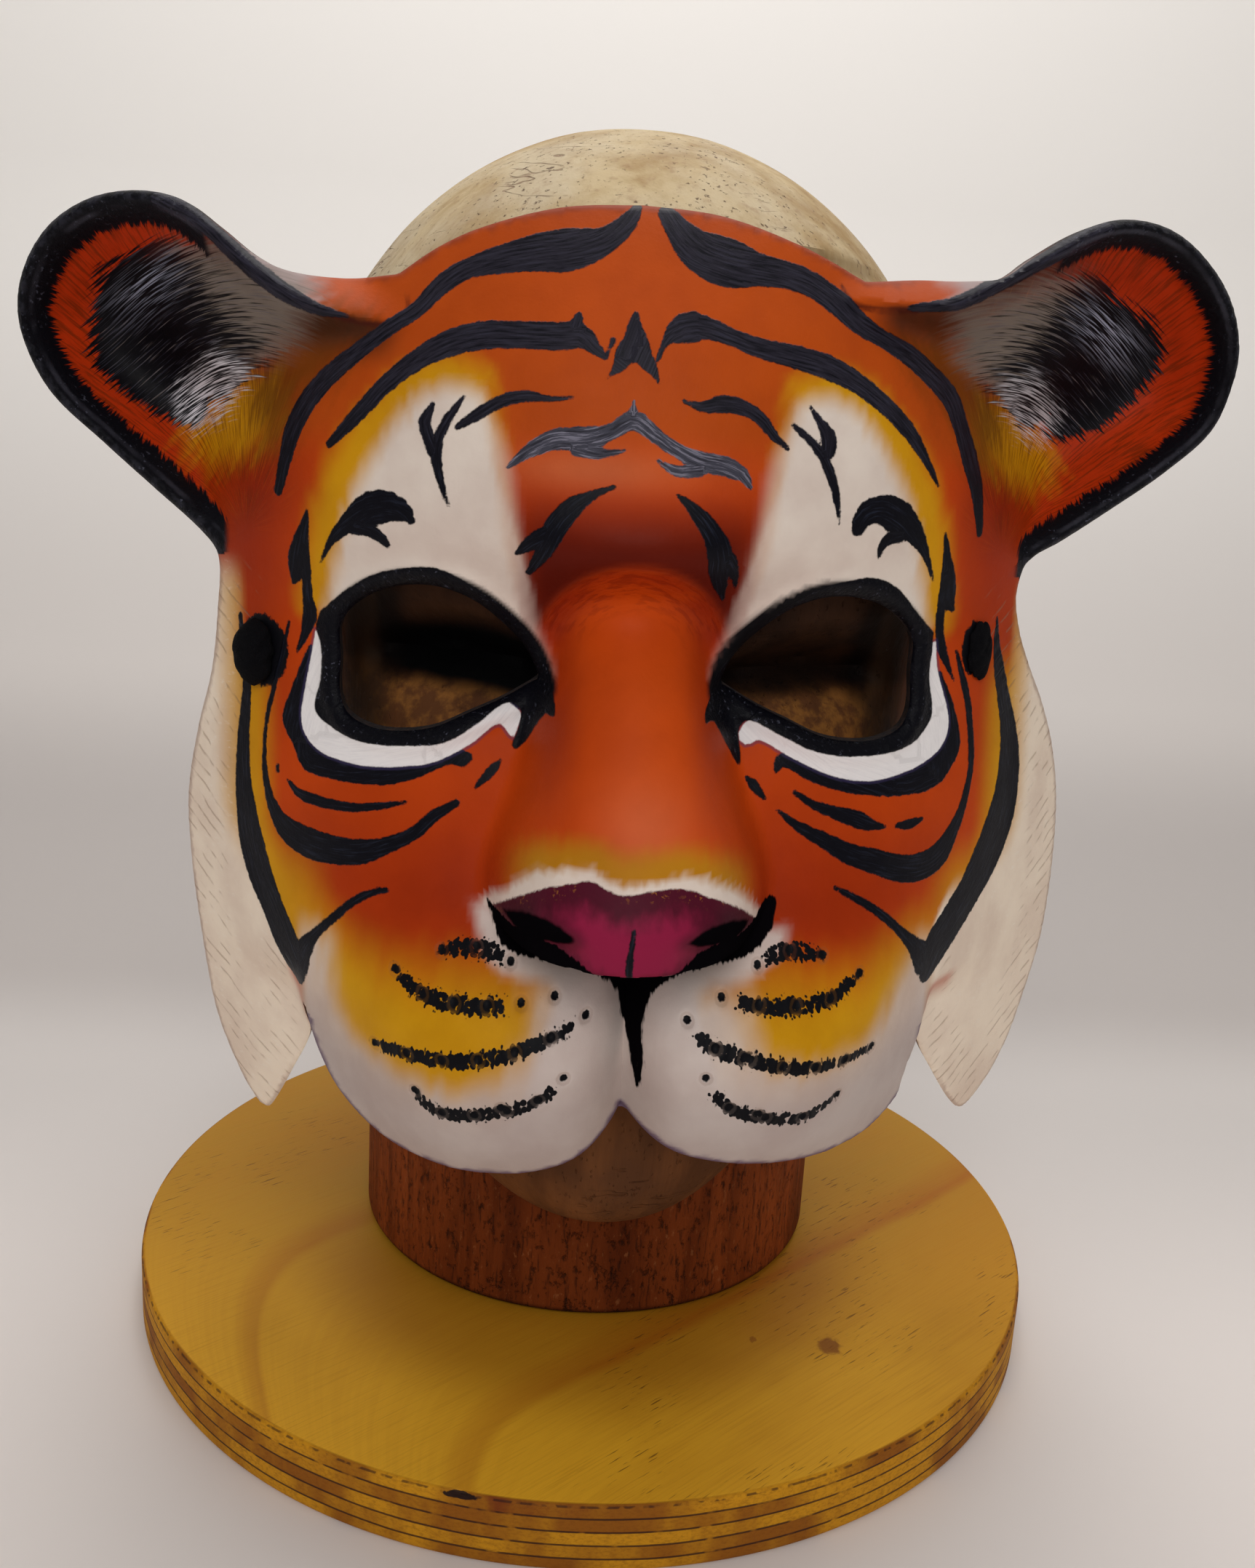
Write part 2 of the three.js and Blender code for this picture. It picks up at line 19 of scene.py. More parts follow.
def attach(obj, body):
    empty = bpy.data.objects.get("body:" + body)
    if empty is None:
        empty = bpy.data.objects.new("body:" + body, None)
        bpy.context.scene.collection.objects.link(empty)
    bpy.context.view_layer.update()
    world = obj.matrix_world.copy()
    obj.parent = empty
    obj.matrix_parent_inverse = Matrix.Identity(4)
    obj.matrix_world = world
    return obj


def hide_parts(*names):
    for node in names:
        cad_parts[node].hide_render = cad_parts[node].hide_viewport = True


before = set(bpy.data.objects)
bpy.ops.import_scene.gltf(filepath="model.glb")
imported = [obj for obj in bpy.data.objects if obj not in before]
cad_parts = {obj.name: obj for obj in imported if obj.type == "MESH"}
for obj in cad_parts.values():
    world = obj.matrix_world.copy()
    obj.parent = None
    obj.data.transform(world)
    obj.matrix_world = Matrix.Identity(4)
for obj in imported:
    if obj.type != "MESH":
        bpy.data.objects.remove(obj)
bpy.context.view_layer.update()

MM = 0.001  # the shapes are worked out in millimetres, and Blender's unit is the metre
rng = np.random.default_rng(7)


def deselect_all():
    if bpy.context.object and bpy.context.object.mode != "OBJECT":
        bpy.ops.object.mode_set(mode="OBJECT")
    bpy.ops.object.select_all(action="DESELECT")


def select_only(piece):
    deselect_all()
    piece.select_set(True)
    bpy.context.view_layer.objects.active = piece


deselect_all()


# %% [markdown]
# ## Curves through a few measured points
#
# A craftsperson's template is a few measured points and a smooth line through them. The same idea
# works in code: a cubic that passes through each point with the slope of its neighbours. It is used
# for profiles of the face, for the cut outline and for every brush stroke of the paint.

# %% Smooth curves
def through(keys, at, column=1):
    """A smooth curve through rows of [key, value, ...], held level past its ends."""
    keys = np.asarray(keys, float)
    x, y = keys[:, 0], keys[:, column]
    slope = np.empty(len(x))
    slope[1:-1] = (y[2:] - y[:-2]) / (x[2:] - x[:-2])
    slope[0] = (y[1] - y[0]) / (x[1] - x[0])
    slope[-1] = (y[-1] - y[-2]) / (x[-1] - x[-2])
    at = np.clip(np.asarray(at, float), x[0], x[-1])
    i = np.clip(np.searchsorted(x, at, side="left") - 1, 0, len(x) - 2)
    h = x[i + 1] - x[i]
    t = (at - x[i]) / h
    return (
        y[i] * (2 * t**3 - 3 * t**2 + 1) + slope[i] * h * (t**3 - 2 * t**2 + t)
        + y[i + 1] * (3 * t**2 - 2 * t**3) + slope[i + 1] * h * (t**3 - t**2)
    )


def smooth_run(points, step, count=None):
    """Points about step apart, or in count steps, on a smooth curve through rows of numbers."""
    points = np.asarray(points, float)
    along = np.concatenate([[0], np.cumsum(np.hypot(*np.diff(points[:, :2], axis=0).T))])
    table = np.column_stack([along, points])
    s = np.linspace(0, along[-1], (count or max(2, round(along[-1] / step))) + 1)
    return np.column_stack([through(table, s, 1 + k) for k in range(points.shape[1])])


def smooth_step(start, end, v):
    t = np.clip((v - start) / (end - start), 0, 1)
    return t * t * (3 - 2 * t)


def smooth_max(a, b, width):
    h = np.clip(0.5 + 0.5 * (a - b) / width, 0, 1)
    return b + (a - b) * h + width * h * (1 - h)


def mound(x, z, cx, cz, rx, rz):
    return np.exp(-(((x - cx) / rx) ** 2) - ((z - cz) / rz) ** 2)


# %% [markdown]
# ## The form of the mask
#
# Wet leather takes the shape of its mould. Seen from the front, each place (x, z) has one depth, so
# the whole face is a height field: a broad egg-shaped face, with a brow, cheeks, a nose and two
# muzzle lobes laid over it. A sculpted mesh could do it too, but a formula gives the same form at any
# density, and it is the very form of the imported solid.

# %% Depth of the face
FACE_PROFILE = [
    [40, 62], [70, 74], [100, 82], [130, 85], [160, 85], [178, 85], [192, 89], [205, 90],
    [220, 87], [235, 80], [249, 71], [262, 58],
]
FACE_HALF_BREADTH = [
    [40, 96], [80, 99], [130, 101], [160, 98], [184, 95], [205, 88], [225, 80], [245, 70], [262, 60],
]
FLARE_FROM = 0.8  # past this share of the half breadth the sides run on straight
NOSE_RIDGE = [
    [120, 116], [126, 120], [132, 121], [138, 118.5], [146, 113], [156, 106], [166, 98.5],
    [175, 90.5], [182, 86], [190, 83],
]
NOSE_HALF_WIDTH = [[120, 19], [128, 23], [138, 21], [150, 16], [162, 13], [175, 12], [190, 12]]


def face_depth(a, z):
    share = a / through(FACE_HALF_BREADTH, z)
    height = math.sqrt(1 - FLARE_FROM**2)
    round_part = np.sqrt(1 - np.minimum(share, FLARE_FROM) ** 2)
    flared = height - FLARE_FROM / height * (share - FLARE_FROM)
    return through(FACE_PROFILE, z) * np.where(share < FLARE_FROM, round_part, flared)


def nose_depth(a, z):
    half = through(NOSE_HALF_WIDTH, z)
    side = np.maximum(a - 0.55 * half, 0)
    bar = through(NOSE_RIDGE, z) - 0.55 * a * a / half - 0.1 * side * side
    undercut = 60 * smooth_step(125, 117, z)
    root = 60 * smooth_step(186, 202, z)
    return bar - undercut - root - 3.5 * mound(a, z, 13, 127.5, 5, 3)


def muzzle_lobe(a, z):
    across = np.where(a < 24, 45, 34)
    along = np.where(z > 98, 26, 40)
    return 30 * np.exp(-(np.abs((a - 24) / across) ** 2.4) - np.abs((z - 98) / along) ** 2.4)


def behind_muzzle(a, z):
    """1 on the cheek flap, on the far side of the slit between it and the muzzle lobe."""
    edge = 61.5 - 4 * smooth_step(100, 84, z)
    return smooth_step(edge - 0.5, edge + 4, a) * smooth_step(108, 97, z)


# %% [markdown]
# ## The ears
#
# Each ear is pulled out of the same sheet: a bowl with a rolled rim. The rim's crest is a line in
# space, [across, up, depth], read from the forehead round to the foot of the ear. Inside the crest the
# leather sinks to a bowl, and outside it falls away steeply behind.

# %% Depth of the ears
EAR_RIM = {
    "left": [
        [40, 228, 70], [51, 229.5, 68.5], [60, 231.5, 66.5], [68, 236, 63], [76, 242.5, 59],
        [85, 248.3, 55], [95, 249.8, 51], [105, 247.5, 46.5], [113, 242, 43], [118, 234, 40.5],
        [118.8, 226, 39], [114, 215, 38.5], [104, 205.5, 39], [93, 196.5, 41], [81, 187, 45],
    ],
    "right": [
        [37, 235, 70], [48, 234.8, 68.5], [58, 235.5, 66.5], [67, 240, 62.5], [76, 244.8, 59],
        [86, 250, 55], [96, 251.8, 51], [106, 249.5, 47], [115, 243, 43.5], [120.5, 235.5, 41],
        [122.5, 227, 39.5], [120, 216, 38.5], [111, 207, 39], [98, 198, 41], [83, 189, 45],
    ],
}
EAR_CREST_STEPS = 60
EAR_BOWL = 15  # depth of the bowl, nearly reached at a few times the run below
EAR_BOWL_RUN = 8
EAR_FROM_Z = 176  # no ear below this height
EAR_FROM_X = 30  # nor nearer to the middle


CREST = {side: smooth_run(keys, None, EAR_CREST_STEPS) for side, keys in EAR_RIM.items()}
for side, crest in CREST.items():
    print(side, "ear: the rim reaches", round(float(crest[:, 0].max()), 1), "mm out and",
          round(float(crest[:, 1].max()), 1), "mm up")


def from_crest(a, z, crest):
    """Depth of the crest near each place, and the distance to it, below 0 outside the ear."""
    nearest = np.full(a.shape, np.inf)
    outside = np.zeros(a.shape, bool)
    total = np.zeros(a.shape)
    weights = np.zeros(a.shape)
    for (ax, az, ad), (bx, bz, bd) in zip(crest[:-1], crest[1:]):
        dx, dz = bx - ax, bz - az
        t = np.clip(((a - ax) * dx + (z - az) * dz) / (dx * dx + dz * dz), 0, 1)
        distance = np.hypot(a - ax - t * dx, z - az - t * dz)
        weight = 1 / (distance**4 + 0.01)
        total += weight * (ad + t * (bd - ad))
        weights += weight
        closer = distance < nearest
        outside = np.where(closer, dx * (z - az) - dz * (a - ax) > 0, outside)
        nearest = np.where(closer, distance, nearest)
    return total / weights, np.where(outside, -nearest, nearest)


def ear_depth(a, z, crest):
    depth, inside = from_crest(a, z, crest)
    far = np.maximum(-inside, 0)
    bowl = EAR_BOWL * (1 - np.exp(-((np.maximum(inside, 0) / EAR_BOWL_RUN) ** 1.6)))
    return depth - np.where(inside < 0, 0.9 * far + 0.1 * far**2, bowl)


# %% Depth of the whole mask
def mask_depth(x, z):
    """Depth of the sheet's front, towards the viewer, in millimetres."""
    x, z = np.broadcast_arrays(np.asarray(x, float), np.asarray(z, float))
    a = np.abs(x)
    depth = face_depth(a, z)
    depth = depth + 6.5 * mound(a, z, 0, 191, 20, 8)  # brow over the nose root
    depth += 1.5 * mound(a, z, 34, 195, 20, 12)  # brow over each eye
    depth -= 6 * mound(a, z, 17, 167, 11, 13)  # hollow between eye and nose
    depth -= 2.5 * mound(a, z, 36, 168, 20, 12)  # eye socket
    depth += 3 * mound(a, z, 46, 140, 22, 16)  # cheek
    depth += muzzle_lobe(a, z) * (1 - behind_muzzle(a, z))
    depth -= 9 * np.exp(-((a / 5) ** 1.5)) * smooth_step(128, 112, z)  # groove under the nose
    depth = smooth_max(depth, nose_depth(a, z), 5)
    for side, here in (("left", x < 0), ("right", x >= 0)):
        ear = here & (z > EAR_FROM_Z) & (a > EAR_FROM_X)
        if ear.any():
            depth[ear] = smooth_max(depth[ear], ear_depth(a[ear], z[ear], CREST[side]), 4)
    return np.maximum(depth, 0)


print("nose tip stands", round(float(mask_depth(0, 132)), 1), "mm in front of the ears' plane")

# %% Wall of the leather
LEATHER = 3.0
STEEPEST = 2.4  # the wall measured along Y grows with the slope, up to this many times


def slopes(x, z, reach=0.5):
    sx = (mask_depth(x + reach, z) - mask_depth(x - reach, z)) / (2 * reach)
    sz = (mask_depth(x, z + reach) - mask_depth(x, z - reach)) / (2 * reach)
    return sx, sz


def wall_along_y(x, z):
    sx, sz = slopes(x, z)
    return LEATHER * np.minimum(np.sqrt(1 + sx**2 + sz**2), STEEPEST)


walls = wall_along_y(np.array([30, 84]), np.array([215, 150]))  # on the forehead and on a flap
print("along Y the leather is", walls.round(1), "mm thick there")


# %% [markdown]
# ## The cut outline
#
# The sheet is cut out with scissors: over the forehead, round the ear, down the long cheek flap, up
# the slit beside the muzzle, and along the two muzzle lobes to the notch under the nose. Runs that
# meet at a corner are kept apart, so the corner stays sharp while the runs are smooth.

# %% Outline of the sheet and of the eye holes
TOP_EDGE = {
    "left": [[0, 249.4], [14, 248.7], [28, 245.2], [36, 241.8], [43.5, 237]],
    "right": [[0, 249.4], [14, 248.2], [28, 244.2], [36, 241], [41, 238.6]],
}
EAR_AND_CHEEK_FLAP = {
    "left": [
        [43.5, 237], [54.7, 236.4], [64, 237.2], [70, 239.8], [76.6, 244.6], [84, 249.4],
        [92.7, 251], [103.4, 249.7], [112.9, 244.5], [119.1, 235.1], [120, 226], [115.5, 215],
        [105, 205], [95, 196.4], [86, 189], [81.6, 184], [82, 174], [83.8, 161], [87.6, 148.5],
        [90.8, 133.5], [90.8, 119], [89.5, 104], [87, 84], [82.4, 72], [77.6, 64.6], [75, 63.9],
        [72.6, 67.2], [67, 78.5], [62.4, 89], [62.6, 97], [61.7, 104],
    ],
    "right": [
        [41, 238.6], [52, 239.7], [61, 239.8], [67, 240.5], [73, 244.4], [83.4, 250.3],
        [92.5, 253], [103.6, 252.1], [112.5, 247.5], [119.5, 241.1], [123.6, 232], [123.6, 224.5],
        [120.5, 214.5], [112, 206.3], [101, 198.5], [90, 191.5], [83, 187.6], [80.2, 181],
        [82.2, 173], [86.4, 165], [91.3, 157], [95.8, 147], [99, 134], [100.4, 116], [99.8, 100],
        [96.8, 87], [92.6, 74], [86.6, 65.4], [81.4, 62.6], [77, 66.6], [70, 77.5], [63.6, 89],
        [62.4, 97], [61, 104.5],
    ],
}
MUZZLE_EDGE = {
    "left": [
        [61.7, 104], [61.2, 98.5], [58.5, 90.8], [53.9, 84], [45.4, 79.2], [36.4, 77.8],
        [28, 77.3], [19.8, 78], [13.2, 80.1], [6.5, 83.2], [1.6, 87], [0, 90],
    ],
    "right": [
        [61, 104.5], [61.4, 98.5], [60.4, 89], [57.6, 82.4], [50.5, 78.2], [41.3, 79],
        [31.5, 80.8], [23.5, 81.8], [16, 83.4], [9, 85.4], [3.6, 87.8], [0, 90],
    ],
}
EYE_HOLE = [
    [16.6, 166.5], [19, 171.6], [23, 176.4], [28.4, 180.8], [34.5, 183], [41, 182.9], [46.8, 181],
    [51.4, 177.8], [53.9, 174.2], [53.9, 168], [54, 161.5], [52.2, 157.8], [47, 155.9],
    [41, 156], [35.5, 157.2], [29.6, 159.9], [23, 162.8],
]

# %% Join the runs into one outline
OUTLINE_STEP = 1.5


def half_outline(side):
    runs = [TOP_EDGE[side], EAR_AND_CHEEK_FLAP[side], MUZZLE_EDGE[side]]
    return np.vstack([smooth_run(run, OUTLINE_STEP)[:-1] for run in runs])


def closed_ring(points, step):
    return smooth_run(list(points) + [points[0]], step)[:-1]


notch = np.array([MUZZLE_EDGE["right"][-1]])
mirror = np.array([-1, 1])
outline = np.vstack([half_outline("right"), notch, half_outline("left")[:0:-1] * mirror])
eye_right = closed_ring(EYE_HOLE, OUTLINE_STEP)
eye_left = eye_right[::-1] * mirror
print("outline of", len(outline), "points,", len(eye_right), "round each eye hole")


# %% [markdown]
# ## Distances
#
# Almost every detail is told by how far a place is from a line: the cut edge, a brush stroke, a row of
# whisker dots. Two functions measure that for all vertices at once. Both give millimetres, below 0
# inside the shape, and both look only near the shape, which keeps them fast.

# %% Distance to an outline
FAR = 12.0  # no distance counts past this one


def near(points, x, z, reach=FAR):
    low, high = points[:, :2].min(0) - reach, points[:, :2].max(0) + reach
    return np.flatnonzero((x > low[0]) & (x < high[0]) & (z > low[1]) & (z < high[1]))


def from_ring(points, x, z):
    """Signed distance to a closed outline."""
    points = np.asarray(points, float)
    result = np.full(x.shape, FAR)
    here = near(points, x, z)
    px, pz = x[here], z[here]
    best = np.full(px.shape, np.inf)
    inside = np.zeros(px.shape, bool)
    for (ax, az), (bx, bz) in zip(points, np.roll(points, -1, axis=0)):
        dx, dz = bx - ax, bz - az
        t = np.clip(((px - ax) * dx + (pz - az) * dz) / max(dx * dx + dz * dz, 1e-9), 0, 1)
        best = np.minimum(best, (px - ax - t * dx) ** 2 + (pz - az - t * dz) ** 2)
        if az != bz:
            inside ^= ((az > pz) != (bz > pz)) & (px < ax + dx * (pz - az) / (bz - az))
    result[here] = np.where(inside, -np.sqrt(best), np.minimum(np.sqrt(best), FAR))
    return result


# %% Distance to brush strokes
def from_strokes(strokes, x, z, step=1.5):
    """Distance to brush strokes of rows [x, z, half width], and how far across and along each is."""
    result = np.full(x.shape, FAR)
    across = np.zeros(x.shape)
    along = np.zeros(x.shape)
    for number, stroke in enumerate(strokes):
        run = smooth_run(stroke, step)
        here = near(run, x, z)
        px, pz = x[here], z[here]
        done = 7.3 * number
        for (ax, az, ar), (bx, bz, br) in zip(run[:-1], run[1:]):
            dx, dz = bx - ax, bz - az
            length = math.hypot(dx, dz)
            t = np.clip(((px - ax) * dx + (pz - az) * dz) / length**2, 0, 1)
            distance = np.hypot(px - ax - t * dx, pz - az - t * dz) - np.maximum(ar + t * (br - ar), 0)
            closer = distance < result[here]
            result[here] = np.where(closer, distance, result[here])
            side = ((px - ax) * dz - (pz - az) * dx) / length
            across[here] = np.where(closer, side, across[here])
            along[here] = np.where(closer, done + t * length, along[here])
            done += length
    return result, across, along


# %% [markdown]
# ## Brush noise
#
# A brush leaves streaks, so soft edges of real paint are never smooth gradients. Value noise on a
# stretched and turned grid makes such streaks. Blender's own noise texture does this in a material,
# and this small version does it for the shapes and colours that are kept on the vertices.

# %% Streaky noise
noise_grid = rng.random((256, 256))


def streaks(x, z, angle, wide, long):
    """Noise from -1 to 1, in streaks of that width and length, turned by an angle in degrees."""
    c, s = math.cos(math.radians(angle)), math.sin(math.radians(angle))
    u = (x * c + z * s) / long + 91.7
    v = (z * c - x * s) / wide + 57.3
    i, j = np.floor(u).astype(int), np.floor(v).astype(int)
    fu, fv = smooth_step(0, 1, u - i), smooth_step(0, 1, v - j)
    corner = lambda di, dj: noise_grid[(i + di) % 256, (j + dj) % 256]
    low = corner(0, 0) * (1 - fu) + corner(1, 0) * fu
    high = corner(0, 1) * (1 - fu) + corner(1, 1) * fu
    return 2 * (low * (1 - fv) + high * fv) - 1


def soft(distance, blur):
    """1 inside, 0 outside, over a band blur wide to each side of the edge."""
    return smooth_step(blur, -blur, distance)


# %% [markdown]
# ## The leather sheet
#
# The sheet starts as a flat grid, stood upright in front of the head, as the leather is laid out
# before it is formed. Cells outside the outline and inside the eye holes are deleted, and the border
# is pulled onto the drawn line. A boolean cut would leave slivers along every edge. The grid keeps
# even, square faces, which carry fine paint well.

# %% Reading a mesh and choosing its faces
def coordinates(mesh):
    flat = np.empty(3 * len(mesh.vertices), np.float32)
    mesh.vertices.foreach_get("co", flat)
    return flat.reshape(-1, 3).astype(float)


def set_coordinates(mesh, points):
    mesh.vertices.foreach_set("co", np.ascontiguousarray(points, np.float32).ravel())
    mesh.update()


def choose_faces(mesh, chosen):
    """Selects these faces, and nothing else, for the next edit mode operator."""
    mesh.vertices.foreach_set("select", np.zeros(len(mesh.vertices), bool))
    mesh.edges.foreach_set("select", np.zeros(len(mesh.edges), bool))
    mesh.polygons.foreach_set("select", np.asarray(chosen, bool))


def face_centres(mesh):
    flat = np.empty(3 * len(mesh.polygons), np.float32)
    mesh.polygons.foreach_get("center", flat)
    return flat.reshape(-1, 3).astype(float)


def edit(*steps):
    """Runs operators in edit mode, each a function without arguments."""
    bpy.ops.object.mode_set(mode="EDIT")
    bpy.ops.mesh.select_mode(type="FACE")
    for step in steps:
        step()
    bpy.ops.object.mode_set(mode="OBJECT")


# %% Cut the sheet out of a grid
CELL = 1.0
SHEET_SPAN = 260
SHEET_MIDDLE_Z = 158
BORDER_SLACK = 0.45  # a cell stays if it reaches past the line by less than this share of a cell


def from_sheet_edge(x, z):
    """Distance to the nearest cut edge, below 0 on the leather, and distance to the eye holes."""
    holes = np.minimum(from_ring(eye_left, x, z), from_ring(eye_right, x, z))
    return np.maximum(from_ring(outline, x, z), -holes), holes


bpy.ops.mesh.primitive_grid_add(
    x_subdivisions=round(SHEET_SPAN / CELL), y_subdivisions=round(SHEET_SPAN / CELL),
    size=SHEET_SPAN, location=(0, 0, SHEET_MIDDLE_Z), rotation=(math.pi / 2, 0, 0),
)
mask = bpy.context.object
mask.name = mask.data.name = "tiger_mask"
bpy.ops.object.transform_apply(location=True, rotation=True, scale=True)

flat_place = coordinates(mask.data)
edge = from_sheet_edge(flat_place[:, 0], flat_place[:, 2])[0]
corners = np.array([polygon.vertices[:] for polygon in mask.data.polygons])
choose_faces(mask.data, (edge[corners] > BORDER_SLACK * CELL).any(axis=1))
edit(lambda: bpy.ops.mesh.delete(type="FACE"))
print("the sheet has", len(mask.data.polygons), "cells of", CELL, "mm")


# %% Pull the border onto the drawn line
def nearest_on(rings, points):
    best = np.full(len(points), np.inf)
    place = points.copy()
    for ring in rings:
        for a, b in zip(ring, np.roll(ring, -1, axis=0)):
            d = b - a
            t = np.clip(((points - a) @ d) / max(d @ d, 1e-9), 0, 1)
            q = a + t[:, None] * d
            far = np.hypot(*(points - q).T)
            closer = far < best
            best = np.where(closer, far, best)
            place = np.where(closer[:, None], q, place)
    return place


def border_vertices(mesh):
    count = np.zeros(len(mesh.edges), int)
    loops = np.empty(len(mesh.loops), np.int32)
    mesh.loops.foreach_get("edge_index", loops)
    np.add.at(count, loops, 1)
    ends = np.empty(2 * len(mesh.edges), np.int32)
    mesh.edges.foreach_get("vertices", ends)
    return np.unique(ends.reshape(-1, 2)[count == 1])


flat_place = coordinates(mask.data)
border = border_vertices(mask.data)
on_line = nearest_on([outline, eye_left, eye_right], flat_place[border][:, [0, 2]])
flat_place[border, 0], flat_place[border, 2] = on_line.T
set_coordinates(mask.data, flat_place)
print(len(border), "border vertices lie on the outline")


# %% [markdown]
# ## The painted stripes
#
# The stripes are brush strokes, so they are kept as strokes: a line of [x, z, half width] in
# millimetres, seen from the front, with a hair-thin start and end. The painter made the two halves by
# hand, so each side has its own.

# %% Stripes of the wearer's right side, at -x
STRIPES_LEFT = [
    [  # crown
        [-1.2, 248.7, .9], [-3, 246, 1.7], [-7, 242.8, 2.4], [-13, 241.1, 3.8], [-19, 240.4, 3.2],
        [-30, 237.9, 1.9], [-35, 235, 1.8], [-39, 230.9, 1.5], [-45, 227, 1.4], [-50, 223.5, 1.6],
        [-56, 219, 1.9], [-60.4, 214.3, 2], [-63.2, 209.5, 1.9], [-64.8, 204, 1.5],
        [-66.2, 198, 1],
    ],
    [  # second
        [-55.2, 207, .8], [-50, 212.2, 1.4], [-44, 218.2, 1.6], [-38, 222.5, 1.9],
        [-33, 224.9, 2.3], [-27, 226.3, 2.4], [-20, 226.4, 2.3], [-14, 226.4, 2.4],
        [-10.5, 226.5, 2], [-8, 224.3, 1], [-6.3, 223.1, .5],
    ],
    [[-11.5, 228, 1.6], [-10.9, 230.4, .2]],
    [[-6.3, 223.1, .4], [-5.6, 224.8, .3], [-5.2, 225.9, .6]],
    [  # small
        [-31.3, 210.9, .6], [-27.5, 213.3, 1], [-23.5, 215.5, 1.1], [-19.5, 216.3, .95],
        [-15.5, 216, .5], [-11.8, 216.3, .3],
    ],
    [[-35.9, 214.4, .5], [-37.2, 211.6, 1.1], [-36.9, 209.8, 1.1], [-35.6, 206.8, 1.2]],  # fork
    [
        [-30.4, 215.9, .3], [-32.8, 212.6, .8], [-34.6, 209, .9], [-35, 205.5, 1],
        [-34.2, 201.8, .7], [-32.8, 197.7, .3],
    ],
    [  # comma over the eye
        [-57.3, 185.6, .2], [-54.6, 190.3, .9], [-51, 193.6, 1.9], [-47, 196.2, 3],
        [-43.3, 196.8, 2.6], [-40.6, 195.9, 1.6], [-39.6, 194.8, .9],
    ],
    [[-50, 192.8, 1.5], [-47, 192.3, 1.2], [-44.8, 191, .9], [-43.9, 190, .6]],
    [  # brow
        [-4.4, 202, .3], [-8.5, 200.3, .9], [-12, 197.8, 1.8], [-14.8, 194, 2],
        [-16.6, 190, 1.3], [-18.6, 187, .6],
    ],
    [[-15.5, 193.8, 1.6], [-18.5, 192, 1.3], [-20.8, 190.2, .4]],
    [  # temple leaf
        [-59.8, 195, .3], [-60.8, 191, 1.3], [-61.9, 186.5, 2.2], [-62.6, 183, 1.5],
        [-63.2, 181.2, .4],
    ],
    [
        [-60.4, 190, .8], [-60.4, 184, 1], [-60.4, 179, 1.1], [-60, 175.5, 1.6],
        [-61, 172.3, 1], [-62.9, 168, .3],
    ],
    [[-65, 143.4, .2], [-61.8, 141.2, 1.1], [-52, 140.9, .9], [-46, 142, .7], [-40.8, 143.4, .3]],
    [[-67.2, 145.6, .4], [-67.2, 144.4, .4]],
    [  # under the eye, then the thin line up the temple
        [-31.4, 144, .7], [-35.2, 141.5, 1.1], [-39.5, 137.6, 1.2], [-44.5, 135, 1.5],
        [-49.5, 133, 2.3], [-55, 132.2, 2.8], [-60, 132.2, 3.1], [-64.5, 133.3, 2.8],
        [-67.5, 136, 1.7], [-69.3, 139.8, 1], [-70.2, 145, .6], [-70.1, 151, .45],
        [-69.3, 156, .5], [-66, 167.5, .5], [-64.6, 173.6, .3],
    ],
    [[-27.9, 146.9, .25], [-26.2, 148.7, .8], [-24.3, 150.8, .8], [-23.4, 151.9, .3]],
    [  # side
        [-76, 173.3, .4], [-75.4, 169, .9], [-74.4, 162, 1], [-75.4, 148, 1.6], [-75.4, 141, 2],
        [-74.8, 135, 2.6], [-73.7, 128.5, 3.2], [-71.6, 122, 3.3], [-68.7, 116.5, 3],
        [-65.6, 111.3, 3.2], [-63.2, 107, 2.4], [-62.7, 104.2, 1],
    ],
    [
        [-62.5, 108, 2.3], [-61.2, 111.6, 1.8], [-58.3, 115.8, .9], [-54.5, 120, .8],
        [-50, 124.3, .7], [-46, 126.6, .6], [-43.9, 127.3, .45],
    ],
]

